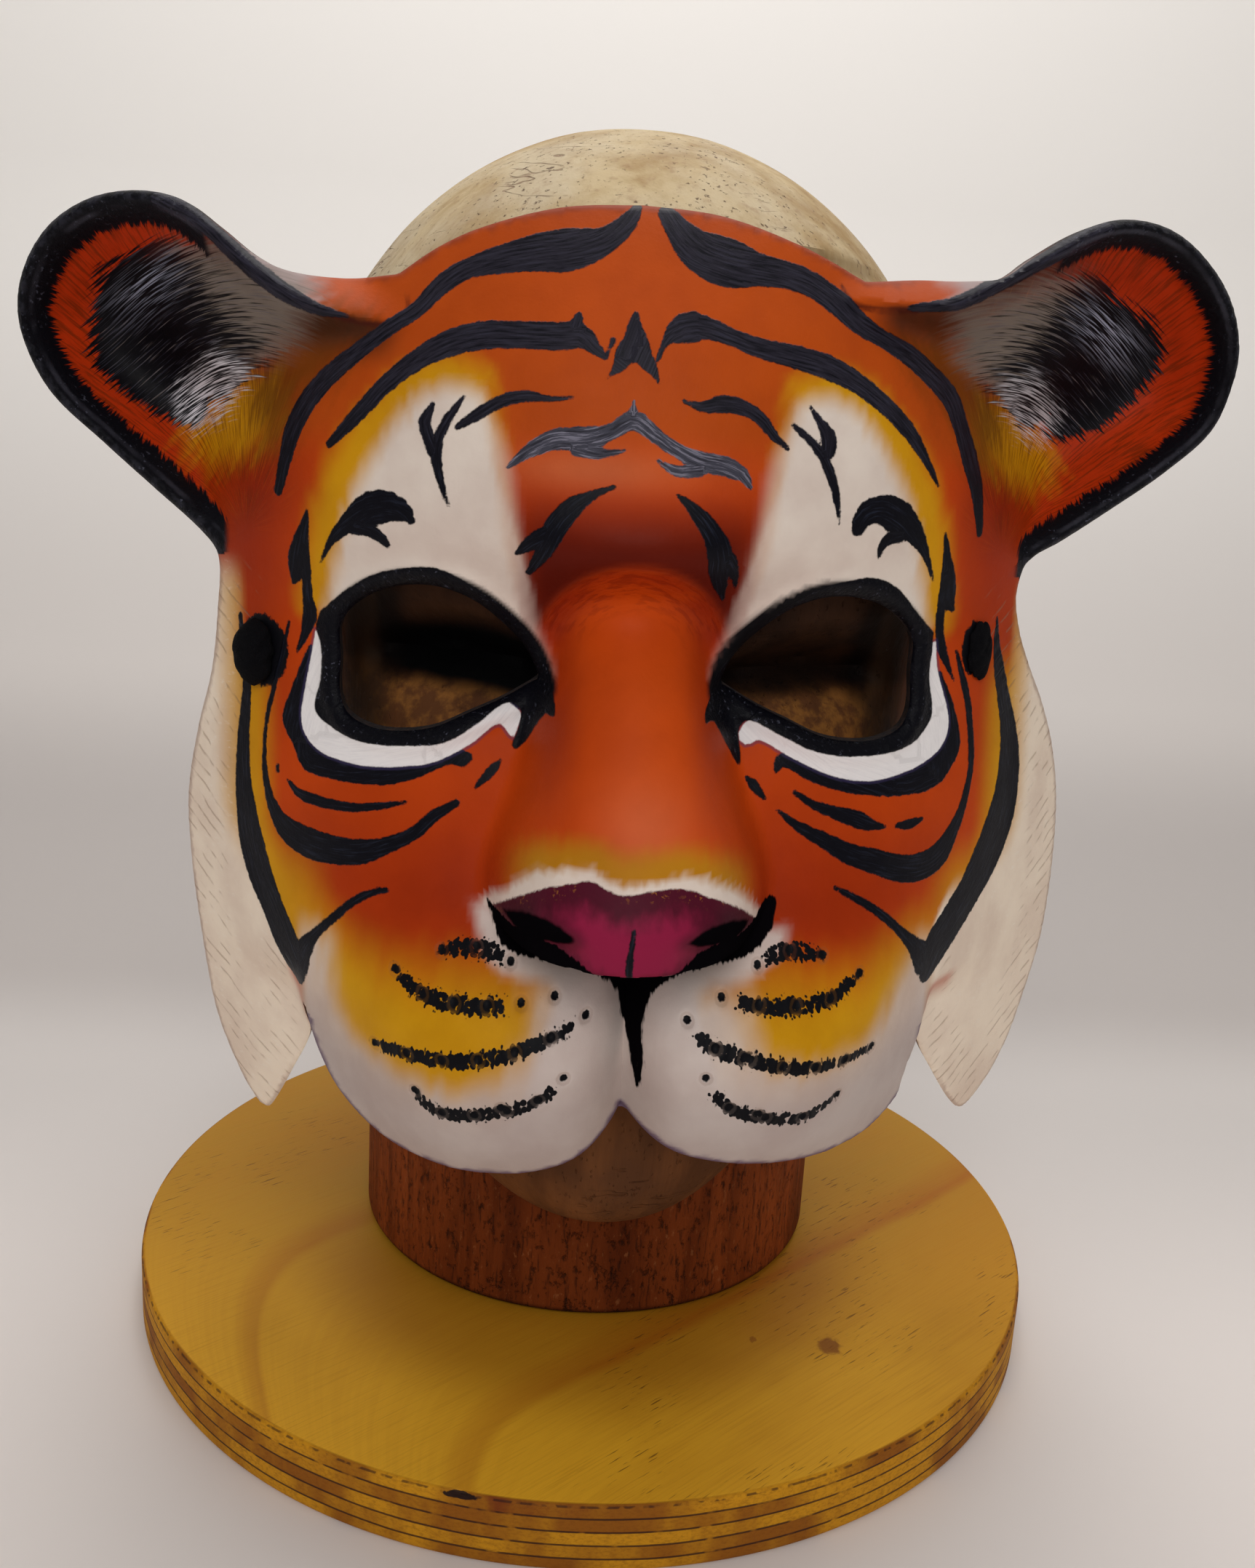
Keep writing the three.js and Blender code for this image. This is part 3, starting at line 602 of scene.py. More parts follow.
# %% Stripes of the wearer's left side, at +x
STRIPES_RIGHT = [
    [  # crown
        [4, 248, 1.6], [6.5, 244.5, 2.6], [10, 241.5, 3.8], [14.5, 240, 4.4], [19.5, 239.2, 3.1],
        [25, 238.6, 2.5], [30, 237.2, 2.4], [35, 234.3, 2.3], [39, 231.2, 2.1],
        [44, 228.7, 1.7], [50, 226, 2.1], [55, 222.6, 2.2], [59.5, 218.8, 2.3],
        [62, 213.5, 2.1], [64.3, 207.5, 2.2], [66.2, 201.5, 1.7], [67.2, 194, .8],
    ],
    [  # second
        [56.2, 202.9, .3], [53.5, 207.2, .9], [49.5, 212.4, 1.5], [44.5, 216.7, 1.7],
        [38.5, 220.6, 1.9], [32.5, 223.1, 2.2], [26, 224.6, 2], [20, 225.7, 1.7],
        [15, 227.3, 1.5], [11, 228.6, 1.9], [8, 228.7, 2.7], [5.8, 227.8, 2],
        [4, 226.4, .8], [2.4, 223, .3],
    ],
    [  # small
        [7, 216.4, .3], [10, 215.5, .8], [13.5, 216.1, 1.5], [17.5, 215.6, 1.3],
        [20.8, 213.6, 1.1], [23, 211, .8], [25.5, 209, .4],
    ],
    [  # fork
        [26.3, 213, .45], [29.2, 210.8, .7], [31.8, 208, .9], [33.4, 205, 1],
        [34.7, 201, .7], [35.5, 196.5, .25],
    ],
    [[29.3, 216.2, .25], [31.2, 213.8, .8], [33, 211, 1.5], [33, 208.8, 1.3]],
    [  # comma over the eye
        [56.8, 185.3, .2], [54.3, 190.4, .9], [51.3, 194.5, 2], [47.5, 197.5, 3.2],
        [43.5, 199, 2.5], [40.2, 197.8, 2], [39.3, 195.6, 1.3],
    ],
    [[48, 194.3, 1.4], [45.8, 193.8, 1.2], [44.4, 192.2, .8], [44, 190.4, .3]],
    [  # brow
        [6.3, 201, .3], [9.3, 198.4, 1.2], [12.3, 194.8, 1.8], [14, 191, 2.3],
        [14.2, 187.5, 1.8], [15.6, 182.7, .3],
    ],
    [[15.5, 190, 1.7], [17, 187.5, .8], [17.4, 185.2, .25]],
    [[58.4, 194.4, .3], [59.3, 190, 1], [60.4, 185, 1.8], [61, 181.5, 1.6], [62.2, 179.6, .6]],
    [
        [59, 187, .6], [59.5, 180, 1], [59.6, 176, 1], [60.6, 172, 1.1], [62.6, 168.2, .6],
        [64, 165.6, .2],
    ],
    [
        [30.9, 147.2, .5], [34.5, 144.9, .8], [39, 143.2, 1.2], [43.5, 141.6, 1.6],
        [46.8, 140.2, 1], [49.2, 139.7, .4],
    ],
    [[52, 139.5, .5], [54.8, 139.3, 1.1], [57.7, 139.8, .4]],
    [  # under the eye, then the thin line up the temple
        [27.7, 144, .3], [31.5, 141.2, .9], [36.5, 138.5, 1.4], [42, 135.5, 1.9],
        [48, 133.2, 2.3], [53.5, 131, 2.6], [58.5, 130.4, 2.9], [62.5, 131.7, 2.8],
        [65.5, 135.5, 1.8], [67.8, 140, 1.1], [69.1, 145, .8], [69.6, 150, .8],
        [68.2, 159.5, .8], [66.6, 164.8, .8], [64.2, 171.3, .4],
    ],
    [[21.8, 149.9, .4], [23.4, 148.3, 1], [25.2, 146.2, .4]],
    [  # side
        [74.4, 177, .3], [74.9, 172, .9], [76, 167, 1.5], [77.8, 161, 1.8], [79.9, 154.5, 2.4],
        [81, 148, 3.2], [80.8, 141, 3.9], [79.2, 134.5, 4.6], [76, 127.5, 4.6],
        [72, 121.8, 4], [67.5, 117, 4], [63, 112.8, 3.8], [60.8, 109, 2],
    ],
    [
        [60, 112, 3], [57, 115.7, 1.6], [53.5, 119.4, .9], [49, 123.6, .8], [44, 127, .7],
        [39, 129.8, .4],
    ],
]
CROWN_MARK = [  # the black mark in the middle of the forehead
    [-6, 219.6], [-5, 222.5], [-4.7, 224.5], [-3.4, 226.5], [-2.5, 229.3], [-1.2, 231.2],
    [-.4, 228.8], [.9, 226.1], [1.6, 223.4], [2.3, 222], [2.9, 218.5], [1.4, 220.4], [0, 221.4],
    [-1.5, 222.6], [-3.4, 220.8], [-5, 220.2],
]
# A black stroke, drawn grey in the material as a painted sheen.
GREY_STRIPE = [
    [
        [-22.6, 204.5, .3], [-19, 207.3, 1.2], [-14.5, 209.4, 1.7], [-9.5, 209.6, 2.1],
        [-5, 211, 1.3], [-1.5, 213, 1.6], [2, 210.8, 1.3], [6, 208.3, 1.2], [10, 206.6, 1.6],
        [14.5, 205.8, 1.7], [17.5, 204.5, 1.2], [19, 202.4, .3],
    ],
    [[-1.5, 213, 1.2], [-1.5, 216.2, .2]],
    [[-11, 208, 1.2], [-7, 207.3, .9], [-2.9, 207.9, .3]],
    [[10, 205.2, 1.3], [6, 204.8, .9], [2.8, 206.6, .3]],
]

# %% [markdown]
# ## Eyes, nose and whiskers
#
# Round each eye lie three layers, as a painter lays them: a black band, a white liner over it, and the
# black rim of the hole on top. Each is one closed outline, so that a layer simply covers the one below.
# The nose is pink leather with dark nostrils, and the whiskers are stippled rows between punched dents.

# %% Outlines round the eyes
EYE_RIM = {
    "left": [
        [-57.8, 176.5], [-52, 181.3], [-46, 184.8], [-39, 186.5], [-34.5, 186.5], [-29, 184],
        [-23, 179.8], [-18, 174.5], [-15.3, 169], [-13.5, 163], [-14, 161.3], [-15, 162],
        [-18, 157], [-19.5, 154.8], [-21, 153.8], [-21.5, 154.5], [-20.3, 157.5], [-20, 161],
        [-22.5, 162], [-27.5, 158.5], [-33, 155], [-37, 154], [-47, 153.3], [-52, 153.8],
        [-57.5, 156], [-59.1, 157.5], [-59.1, 159.5], [-57.9, 164], [-57.8, 170],
        [-58.8, 173.3],
    ],
    "right": [
        [58.3, 175.5], [54, 179.5], [49, 184.5], [44, 186.6], [39, 186.4], [33, 184.8],
        [28, 181.8], [21.5, 175], [17.5, 170], [15, 167], [12.6, 163], [13.1, 161.3],
        [14.3, 161.8], [17.5, 156.5], [20.4, 151.8], [20.6, 154], [20.3, 158], [22, 160],
        [28, 157.5], [34, 154.8], [41, 153.5], [50, 153.6], [55.5, 155], [59, 159],
        [59.1, 161.5], [58, 167], [58.3, 172.5],
    ],
}
EYE_LINER = {
    "left": [
        [-58.9, 172.8], [-60, 167.5], [-61.5, 160], [-62, 156.5], [-61.5, 153.5], [-60, 151.5],
        [-57.5, 150], [-54, 149.3], [-49, 148.9], [-40, 149.9], [-35.5, 151], [-29, 154.5],
        [-23.8, 158.3], [-21.3, 155.8], [-20.5, 157.5], [-20, 160.5], [-30, 166],
    ],
    "right": [
        [59, 173.8], [60, 168], [62.5, 161], [63.3, 157.5], [62.8, 154.8], [61, 152.5],
        [58, 150.8], [54, 149.5], [46, 148.5], [38, 150], [30, 153.5], [24, 156.5],
        [22, 155.5], [20.5, 156.3], [20.3, 157.5], [22, 160], [30, 166],
    ],
}
EYE_BAND = {
    "left": [
        [-60.2, 170], [-64, 161.5], [-66.1, 155.5], [-65.5, 153], [-63.5, 150], [-62.5, 147.5],
        [-60.5, 145.8], [-46.5, 145.7], [-39.5, 147.5], [-32.5, 150.8], [-30, 150.3],
        [-28.3, 152.5], [-30, 153.3], [-36, 156],
    ],
    "right": [
        [60.8, 168], [64, 161.5], [66.3, 155], [66.3, 152], [63, 147], [60, 145.5],
        [56.5, 144.9], [48, 145.5], [40, 147], [33, 149.5], [28.5, 151.8], [27.2, 150.2],
        [26.8, 152.5], [27.3, 153.8], [36, 157],
    ],
}

# %% Outlines of the nose
NOSE_PAD = [
    [-24.5, 127.8], [-20.6, 132.8], [-14.7, 137.6], [-9.3, 139.6], [-7, 140.1], [-2.5, 138.5],
    [2.1, 139], [7.5, 139.2], [13, 137.1], [18.5, 133.3], [23, 127.8], [24.8, 125.5],
    [15, 125.6], [7.5, 121], [0, 116], [-7.5, 121], [-15, 125.6],
]
NOSTRILS = [
    [
        [-22, 129.8], [-18.5, 132.4], [-14, 133.2], [-9.6, 131], [-11, 129.2], [-15, 128.6],
        [-19, 128.6],
    ],
    [[8.8, 130.6], [12.5, 132.8], [16.8, 132.4], [20.6, 129.8], [17.5, 128.4], [11.6, 128.8]],
]
NOSE_FRINGE = [  # the black fur under the nose and the line down to the lip
    [-25.2, 128.5], [-22, 121.5], [-14.7, 119.8], [-9.2, 118.6], [-4.4, 116.4], [-1.6, 113],
    [-.6, 109.5], [1.1, 102.8], [2.6, 96.2], [3.5, 100.5], [3.3, 106.9], [3.9, 112.4], [6.4, 116],
    [11.5, 118.6], [20.7, 120.4], [25.9, 123.4], [27.2, 129.2], [22.5, 128.6], [15, 128.6],
    [7.5, 125.4], [.4, 119], [-7.5, 125.6], [-15, 128.8], [-20.5, 128.6],
]
NOSE_LINE = [[[-.2, 133.5, .3], [-.5, 130, .5], [-.7, 126, .6], [.6, 119, .35], [.7, 115, .4]]]

# %% Rows of whisker dots, [x, z], and the punched dents
WHISKER_ROWS = [
    [[-33, 119.8], [-29, 120.6], [-25, 120.7], [-20.5, 119.3]],
    [[-41.5, 115.5], [-38, 113.7], [-33, 112.9], [-23, 113.2], [-12.6, 114.8]],
    [[-45, 101.8], [-40, 102.7], [-28, 104.4], [-17.5, 107.3], [-7.1, 111.5]],
    [[-37, 96.1], [-35, 94], [-31.5, 93.2], [-22, 95.2], [-14.5, 98.5], [-10.8, 102.1]],
    [[23.5, 119.2], [29, 120.9], [36, 119.6]],
    [[16.7, 115], [25, 113.6], [37, 113.2], [43.5, 115.4]],
    [[10.6, 111.6], [14.2, 108.3], [20.5, 106.2], [33, 103], [46.3, 101.6]],
    [[13.9, 102.7], [15.6, 99.8], [18.5, 96.8], [23.5, 94.8], [32.5, 93], [39, 95.2]],
]
STIPPLE_GAPS = [  # parts of the rows without dots: [x, z, radius]
    [-18, 113.5, 3.2], [-12.6, 114.8, 2.5], [-7.1, 111.5, 2.4], [-10.8, 102.1, 2.4],
    [16.7, 115, 3], [10.6, 111.6, 2.4], [13.9, 102.7, 2.6], [-20.5, 119.3, 1.6],
    [23.5, 119.2, 1.6],
]
PUNCHES_ALONG = 6.5  # spacing of the dents inside a row
FREE_PUNCHES = [[-21.5, 96.3], [23.5, 95.3], [20.5, 106.2]]

# %% Lines along the folded edge of the ears
EAR_LIPS = [  # the black line along the folded edge where each ear starts
    [[-88, 249.4, 1.6], [-80, 245.6, 1.6], [-74, 240.6, 1.6], [-68, 235.9, 1.7], [-62, 232.2, 1.5],
     [-57, 230.2, 1], [-52, 229.2, .3]],
    [[88, 250.6, 1.6], [80, 246.8, 1.6], [73, 243.2, 1.6], [66, 239.4, 1.5], [58, 235.6, 1.3],
     [51, 234.4, .8], [48, 234.2, .3]],
]
# The dark lines below are painted shade in the creases.
EAR_CREASES = [  # the thin dark crease where that fold runs out on the forehead
    [[-56, 229.8, .5], [-50, 228.2, .35], [-44, 228, .4], [-41.2, 230.4, .3], [-41.6, 233.5, .2]],
    [[50, 233.9, .5], [43, 233.6, .35], [37.5, 234.6, .4], [36, 237.5, .2]],
]

# %% Smooth runs of the painted lines
RING_STEP = 1.2
ROW_MIDDLE, ROW_TAPER = 1.35, 0.6  # half width of a whisker row, and how much less it has at its ends

punches = np.vstack([smooth_run(row, PUNCHES_ALONG) for row in WHISKER_ROWS] + [FREE_PUNCHES])
whisker_rows = [
    np.column_stack([row, ROW_MIDDLE - ROW_TAPER * np.linspace(-1, 1, len(row)) ** 2])
    for row in WHISKER_ROWS
]
stripes = STRIPES_LEFT + STRIPES_RIGHT
eye_layers = {name: [closed_ring(table[side], RING_STEP) for side in ("left", "right")]
              for name, table in (("rim", EYE_RIM), ("liner", EYE_LINER), ("band", EYE_BAND))}
nose_pad, nose_fringe, crown_mark, *nostrils = (
    closed_ring(ring, RING_STEP) for ring in (NOSE_PAD, NOSE_FRINGE, CROWN_MARK, *NOSTRILS))
print(len(stripes), "strokes,", len(whisker_rows), "whisker rows,", len(punches), "punched dents")


# %% [markdown]
# ## Thickness, and finer cells where the paint is fine
#
# The sheet is extruded once, towards the viewer, so that it has a back. Both sides are still flat
# here, the front at Y = -1 and the back at Y = 0, so faces are easy to choose by place. The front is
# then subdivided near the brush strokes and edges, where half a millimetre matters, and left coarse
# on plain leather.

# %% Back of the sheet, and finer cells
FINE_REACH = 0.9  # finer cells this near to a painted edge
FINE_BORDER = 1.6  # and this near to the cut edge

choose_faces(mask.data, np.ones(len(mask.data.polygons)))
bpy.context.view_layer.objects.active = mask
edit(
    lambda: bpy.ops.mesh.extrude_region_move(TRANSFORM_OT_translate={"value": (0, -1, 0)}),
    lambda: bpy.ops.mesh.select_all(action="SELECT"),
    lambda: bpy.ops.mesh.normals_make_consistent(inside=False),
)


def detail_distance(x, z):
    """Distance to the nearest place where the paint or the relief is fine."""
    strokes = from_strokes(stripes + GREY_STRIPE + NOSE_LINE + EAR_LIPS, x, z)[0]
    nearest = np.abs(np.minimum(strokes, from_strokes(whisker_rows, x, z)[0]))
    for ring in sum(eye_layers.values(), [nose_pad, nose_fringe, crown_mark, *nostrils]):
        nearest = np.minimum(nearest, np.abs(from_ring(ring, x, z)))
    return nearest


centre = face_centres(mask.data)
front = centre[:, 1] < -0.9
x, z = centre[:, 0], centre[:, 2]
edge = from_sheet_edge(x, z)[0]
fine = front & ((detail_distance(x, z) < FINE_REACH) | (edge > -FINE_BORDER))
choose_faces(mask.data, fine)
edit(lambda: bpy.ops.mesh.subdivide(number_cuts=1))
print("finer cells at", int(fine.sum()), "of", int(front.sum()), "cells of the front")


# %% [markdown]
# ## Relief
#
# On the wet leather small forms are pressed with tools: a raised rim round each eye hole, a bead along
# the ear's rim, dents punched for the whiskers, and slanting lines cut into the cheek flaps. Each is
# added to the depth as a small bump or groove that depends on a distance. Real geometry is used, not
# only bump in the material, so that the forms also show in the outline and in a printed copy.

# %% Where each vertex lies
flat_place = coordinates(mask.data)
px, pz = flat_place[:, 0], flat_place[:, 2]
a = np.abs(px)
is_front = flat_place[:, 1] < -0.5
edge, from_eye = from_sheet_edge(px, pz)
from_cut = -edge  # distance inward from the cut edge
crest_distance = np.full(px.shape, FAR)
for side, sign in (("left", -1), ("right", 1)):
    ear = (px * sign > EAR_FROM_X) & (pz > EAR_FROM_Z - 6)
    crest_distance[ear] = from_crest(a[ear], pz[ear], CREST[side])[1]
on_ear = smooth_step(60, 74, a) * smooth_step(186, 196, pz)
on_flap = smooth_step(64, 68, a) * (1 - smooth_step(178, 186, pz))

# %% Slanting tool lines of the flaps
FLAP_BAND = 9.5  # the lines run in this much of the flap, from its edge inward
TOOL_SLANT = (-0.62, 0.78)
TOOL_SPACING = 2.6
TOOL_WIDTH = 0.42

outer_band = soft(from_cut - FLAP_BAND - 1.5 * streaks(px, pz, 30, 2, 5), 1.5)
outer_band *= on_flap * smooth_step(61, 66, a)
slant = a * TOOL_SLANT[0] + pz * TOOL_SLANT[1]
groove_phase = (slant + 0.7 * streaks(px, pz, 0, 9, 9)) / TOOL_SPACING
groove = np.abs(groove_phase - np.round(groove_phase)) * TOOL_SPACING
tool_mark = outer_band * np.exp(-((groove / TOOL_WIDTH) ** 2))

# %% What the tools add to the depth
punch_distance = np.full(px.shape, FAR)
for cx, cz in punches:
    punch_distance = np.minimum(punch_distance, np.hypot(px - cx, pz - cz))


def relief(x, z):
    """What the tools add to the depth of the front, in millimetres."""
    bump = 1.3 * np.exp(-(((from_eye - 2.3) / 1.7) ** 2))  # rim of the eye hole
    bump += 0.5 * np.exp(-(((np.abs(crest_distance) - 0.4) / 1.3) ** 2)) * on_ear
    bump -= 0.7 * np.exp(-(((crest_distance - 4.6) / 1.1) ** 2)) * on_ear
    bump -= 0.2 * tool_mark
    bump -= 0.75 * np.exp(-((punch_distance / 0.8) ** 2))
    bump += 0.22 * np.exp(-(((punch_distance - 1.6) / 0.5) ** 2))
    bump += 0.10 * streaks(x, z, 20, 9, 14) + 0.05 * streaks(x, z, 70, 3, 4)
    return bump


# %% Form the sheet
CUT_EASE = 0.8  # radius of the rubbed cut edge
LEAN = math.radians(1.3)  # the mask sits a little askew on the head
LEAN_ABOUT = (0, 148)

ease = CUT_EASE * (1 - np.sqrt(1 - np.clip(1 - from_cut / CUT_EASE, 0, 1) ** 2))
front_depth = mask_depth(px, pz)
back_depth = front_depth - wall_along_y(px, pz)
depth = np.where(is_front, front_depth + relief(px, pz) - 0.6 * ease, back_depth)


def lean(points):
    """From the mask's own upright frame, in millimetres, to the row's frame."""
    c, s = math.cos(LEAN), math.sin(LEAN)
    dx, dz = points[:, 0] - LEAN_ABOUT[0], points[:, 2] - LEAN_ABOUT[1]
    return np.column_stack([
        LEAN_ABOUT[0] + dx * c - dz * s, points[:, 1], LEAN_ABOUT[1] + dx * s + dz * c,
    ])


formed = lean(np.column_stack([px, -depth, pz]))
set_coordinates(mask.data, formed * MM)
print("the formed sheet reaches from", formed.min(0).round(1), "to", formed.max(0).round(1))


# %% [markdown]
# ## Colour that fades
#
# The orange, yellow and white are sprayed and brushed so that they fade into each other. Such fades
# change slowly, so they are kept as a colour on each vertex, built up in layers as on the real mask:
# each wash has a colour, a place and a soft edge with brush streaks in it. Crisp strokes are kept as
# distances in millimetres instead, and the material turns them into sharp edges.

# %% Palette
def pigment(red, green, blue):
    """A colour as seen on a screen, 0 to 255, as the linear light that a shader works with."""
    c = np.array([red, green, blue]) / 255
    return np.where(c <= 0.04045, c / 12.92, ((c + 0.055) / 1.055) ** 2.4)


ORANGE = pigment(200, 70, 8)
DEEP_ORANGE = pigment(150, 34, 5)
# lighter orange, laid below as painted highlights
BRIGHT_ORANGE = pigment(210, 84, 22)
YELLOW = pigment(216, 156, 14)
WARM_WHITE = pigment(236, 223, 211)
EAR_RED = pigment(196, 54, 10)
CREAM = pigment(250, 234, 214)
MAROON = pigment(70, 18, 18)
BLACK = pigment(12, 12, 17)
LEATHER_BROWN = pigment(128, 88, 58)
# dark red, laid below as painted shade in the crease at the nose root
ROOT_RED = pigment(92, 18, 4)
BURNT_ORANGE = pigment(182, 80, 14)
# the next two are painted highlights: the lit band under the grey stripe and the shine on the nose
PEACH_HIGHLIGHT_ORANGE = pigment(205, 118, 76)
NOSE_SHINE = pigment(222, 128, 92)
MUZZLE_WHITE = pigment(222, 208, 200)
# greyer white, laid below as painted shade low on the muzzle
MUZZLE_SHADE = pigment(192, 178, 172)
LIP_VIOLET = pigment(92, 66, 104)
NOSE_OCHRE = pigment(190, 132, 22)
EAR_ROOT = pigment(108, 60, 10)
# dark brown, laid below as painted shade under the ears' folded lips
LIP_SHADOW_BROWN = pigment(52, 30, 14)
LIP_GREY = pigment(178, 170, 170)
CUT_BROWN = pigment(128, 50, 30)

# %% Laying a wash
wash = np.tile(ORANGE, (len(px), 1))


def lay(colour, amount):
    """Lays a colour over the wash, by an amount from 0 to 1 at each vertex."""
    amount = np.clip(amount, 0, 1)[:, None]
    wash[:] = wash * (1 - amount) + colour * amount


def patch(points, blur, streak=0, angle=0, wide=1.5, long=9, mirrored=False):
    """How much a soft patch covers each vertex. Its points may be mirrored for the other half."""
    x = -px if mirrored else px
    distance = from_ring(closed_ring(points, 3), x, pz)
    if streak:
        distance = distance + streak * streaks(x, pz, angle, wide, long)
    return soft(distance, blur)


def on_both_halves(colour, amount, points, *how):
    """Lays a patch, then its mirror image."""
    for mirrored in (False, True):
        lay(colour, amount * patch(points, *how, mirrored))


def up_and_down(v, start, full, last, end):
    """0 before start, 1 from full to last and 0 past the end."""
    return smooth_step(start, full, v) * smooth_step(end, last, v)


# %% Shading of the orange: airbrushed tones, with painted shade and painted highlights
NOSE_ROOT = (0, 171)
NOSE_ARCH_RADIUS = 17.5
nose_arch = np.hypot(px - NOSE_ROOT[0], pz - NOSE_ROOT[1]) - NOSE_ARCH_RADIUS  # below 0 on the nose
above_eyes = smooth_step(172, 178, pz)

# Darker orange beside the nose, on the cheeks, temples and sides: airbrushed tone, deepened as painted
# shade where the form turns away from the light.
lay(DEEP_ORANGE, 0.55 * mound(a, pz, 30, 128, 13, 16))
lay(DEEP_ORANGE, 0.5 * smooth_step(56, 74, a) * smooth_step(140, 186, pz))
lay(DEEP_ORANGE, 0.75 * mound(a, pz, 72, 200, 9, 16))
lay(DEEP_ORANGE, 0.5 * mound(a, pz, 48, 128, 18, 12))
lay(DEEP_ORANGE, 0.55 * up_and_down(a, 8, 13, 14, 20) * up_and_down(pz, 140, 165, 175, 190))
# Lighter orange down the nose ridge, and the shine on the nose: painted highlights.
lay(BRIGHT_ORANGE, 0.7 * mound(px, pz, 1, 152, 9, 22))
lay(NOSE_SHINE, 0.28 * mound(px, pz, 2, 147, 8, 7))
lay(BURNT_ORANGE, 0.65 * smooth_step(203, 212, pz) * smooth_step(72, 60, a))
# Lighter orange on the middle of the forehead and on the bulge under the grey stripe: painted
# highlights.
lay(BRIGHT_ORANGE, 0.35 * mound(px, pz, 0, 232, 26, 13))
lay(BRIGHT_ORANGE, 0.8 * mound(px, pz, 0, 205, 22, 4.5))
lay(PEACH_HIGHLIGHT_ORANGE, 0.45 * mound(px, pz, -9, 204.5, 15, 3.5))
# Deep orange and dark red at the nose root, under the brow: painted shade in the crease, over a deeper
# airbrushed red.
lay(DEEP_ORANGE, 0.6 * smooth_step(206, 194, pz) * smooth_step(-1, 2, nose_arch)
    * smooth_step(27, 18, a) * above_eyes)
lay(ROOT_RED, 0.95 * smooth_step(-1.5, 1.5, nose_arch) * smooth_step(203, 190.5, pz)
    * smooth_step(26, 15, a) * above_eyes)
lay(DEEP_ORANGE, 0.6 * up_and_down(nose_arch, -7, -1, -1, 0.5)
    * (1 + 0.4 * streaks(px, pz, 0, 1.0, 7)) * (pz > 172))

# %% White brows and their yellow border
BROW_PATCH = [
    [26, 220], [34, 223], [43, 219], [51, 211], [57, 200], [60.5, 187], [61, 176], [50, 178],
    [40, 183], [31, 182], [24, 183], [22, 188], [23.4, 198], [24, 209],
]
BROW_WHITE = [
    [27.5, 216], [34, 217.5], [41, 213], [47, 205], [51.5, 195], [54.5, 185], [56, 176], [46, 180],
    [34, 182], [22, 176], [15.5, 168], [18.4, 177], [19.8, 185], [22, 196], [24.5, 208],
]
on_both_halves(YELLOW, 0.95, BROW_PATCH, 3, 0.7, 60, 1.4, 9)
on_both_halves(WARM_WHITE, 1, BROW_WHITE, 2.6, 0.8, 75, 1.1, 10)

# %% Cheek flaps
SIDE_LINE = (75.0, 79.5)  # where the side stripe stands, to the left and to the right
beyond = a - np.where(px < 0, *SIDE_LINE) + 9 * smooth_step(138, 104, pz)  # outside that stripe
flap_zone = smooth_step(186, 176, pz) * smooth_step(58, 62, a)
lay(YELLOW, 0.92 * flap_zone * smooth_step(-9, -2, beyond) * up_and_down(pz, 104, 110, 160, 172))
lay(YELLOW, 0.8 * smooth_step(-17, -6, beyond + 0.25 * (pz - 118)) * up_and_down(pz, 104, 112, 122, 136)
    * smooth_step(40, 48, a))
lay(CREAM, flap_zone * smooth_step(-0.5, 4.5, beyond))
lay(CREAM, smooth_step(66, 69, a) * smooth_step(108, 100, pz) * smooth_step(1, 3, beyond))
lay(CREAM, behind_muzzle(a, pz))
lay(CREAM, smooth_step(-2.5, 0.5, beyond) * smooth_step(128, 119, pz) * smooth_step(55, 59, a))
lay(YELLOW, 0.65 * flap_zone * up_and_down(beyond, -1, 2, 3, 9) * smooth_step(120, 135, pz))
past_tip = px - 55.2 - 0.62 * (pz - 109)  # right of the right stripe's lower end
lay(CREAM, smooth_step(0.8, 2.4, past_tip) * up_and_down(pz, 103, 106, 119, 127))

# %% Muzzle
not_flap = 1 - behind_muzzle(a, pz)
low = 118 + 5 * smooth_step(42, 58, a) - 0.10 * (a - 20) + 0.7 * streaks(px, pz, 80, 1.6, 8)
lay(YELLOW, smooth_step(low + 7, low - 8, pz) * not_flap * smooth_step(64, 60, a))
MUZZLE_YELLOW = (
    [
        [-56, 112], [-54, 103], [-47, 98], [-37, 97], [-30, 97], [-23, 99.5], [-19, 104],
        [-15.5, 109], [-15.5, 114.5], [-18, 119], [-26, 124], [-42, 127], [-54, 122],
    ],
    [
        [21, 119], [20, 112.5], [22.5, 106.5], [28, 102.5], [36, 101], [44, 102], [52, 108],
        [57, 118], [46, 126], [30, 126],
    ],
)
still_yellow, halo = (
    np.maximum(*[patch(ring, blur, 1.1, 80, 1.6, 8) for ring in MUZZLE_YELLOW]) for blur in (5, 14))
near_lip = smooth_step(22, 16, a + 0.35 * (pz - 100)) * smooth_step(126, 120, pz)
muzzle_white = (1 - np.maximum(still_yellow, 0.55 * halo)) * smooth_step(low + 1, low - 7, pz)
muzzle_white = np.maximum(muzzle_white, near_lip)
lay(MUZZLE_WHITE, muzzle_white * not_flap * smooth_step(64, 60, a) * smooth_step(127, 119, pz))
# Greyer white low on the muzzle: painted shade, where less light reaches it.
lay(MUZZLE_SHADE, 0.8 * smooth_step(108, 92, pz) * not_flap * (a < 64) * muzzle_white)
lip_edge = smooth_step(1.7, 0.5, from_cut + 0.5 * streaks(px, pz, 0, 1.5, 1.5)) * (pz < 98)
lay(LIP_VIOLET, 0.85 * lip_edge * not_flap * (a < 62))

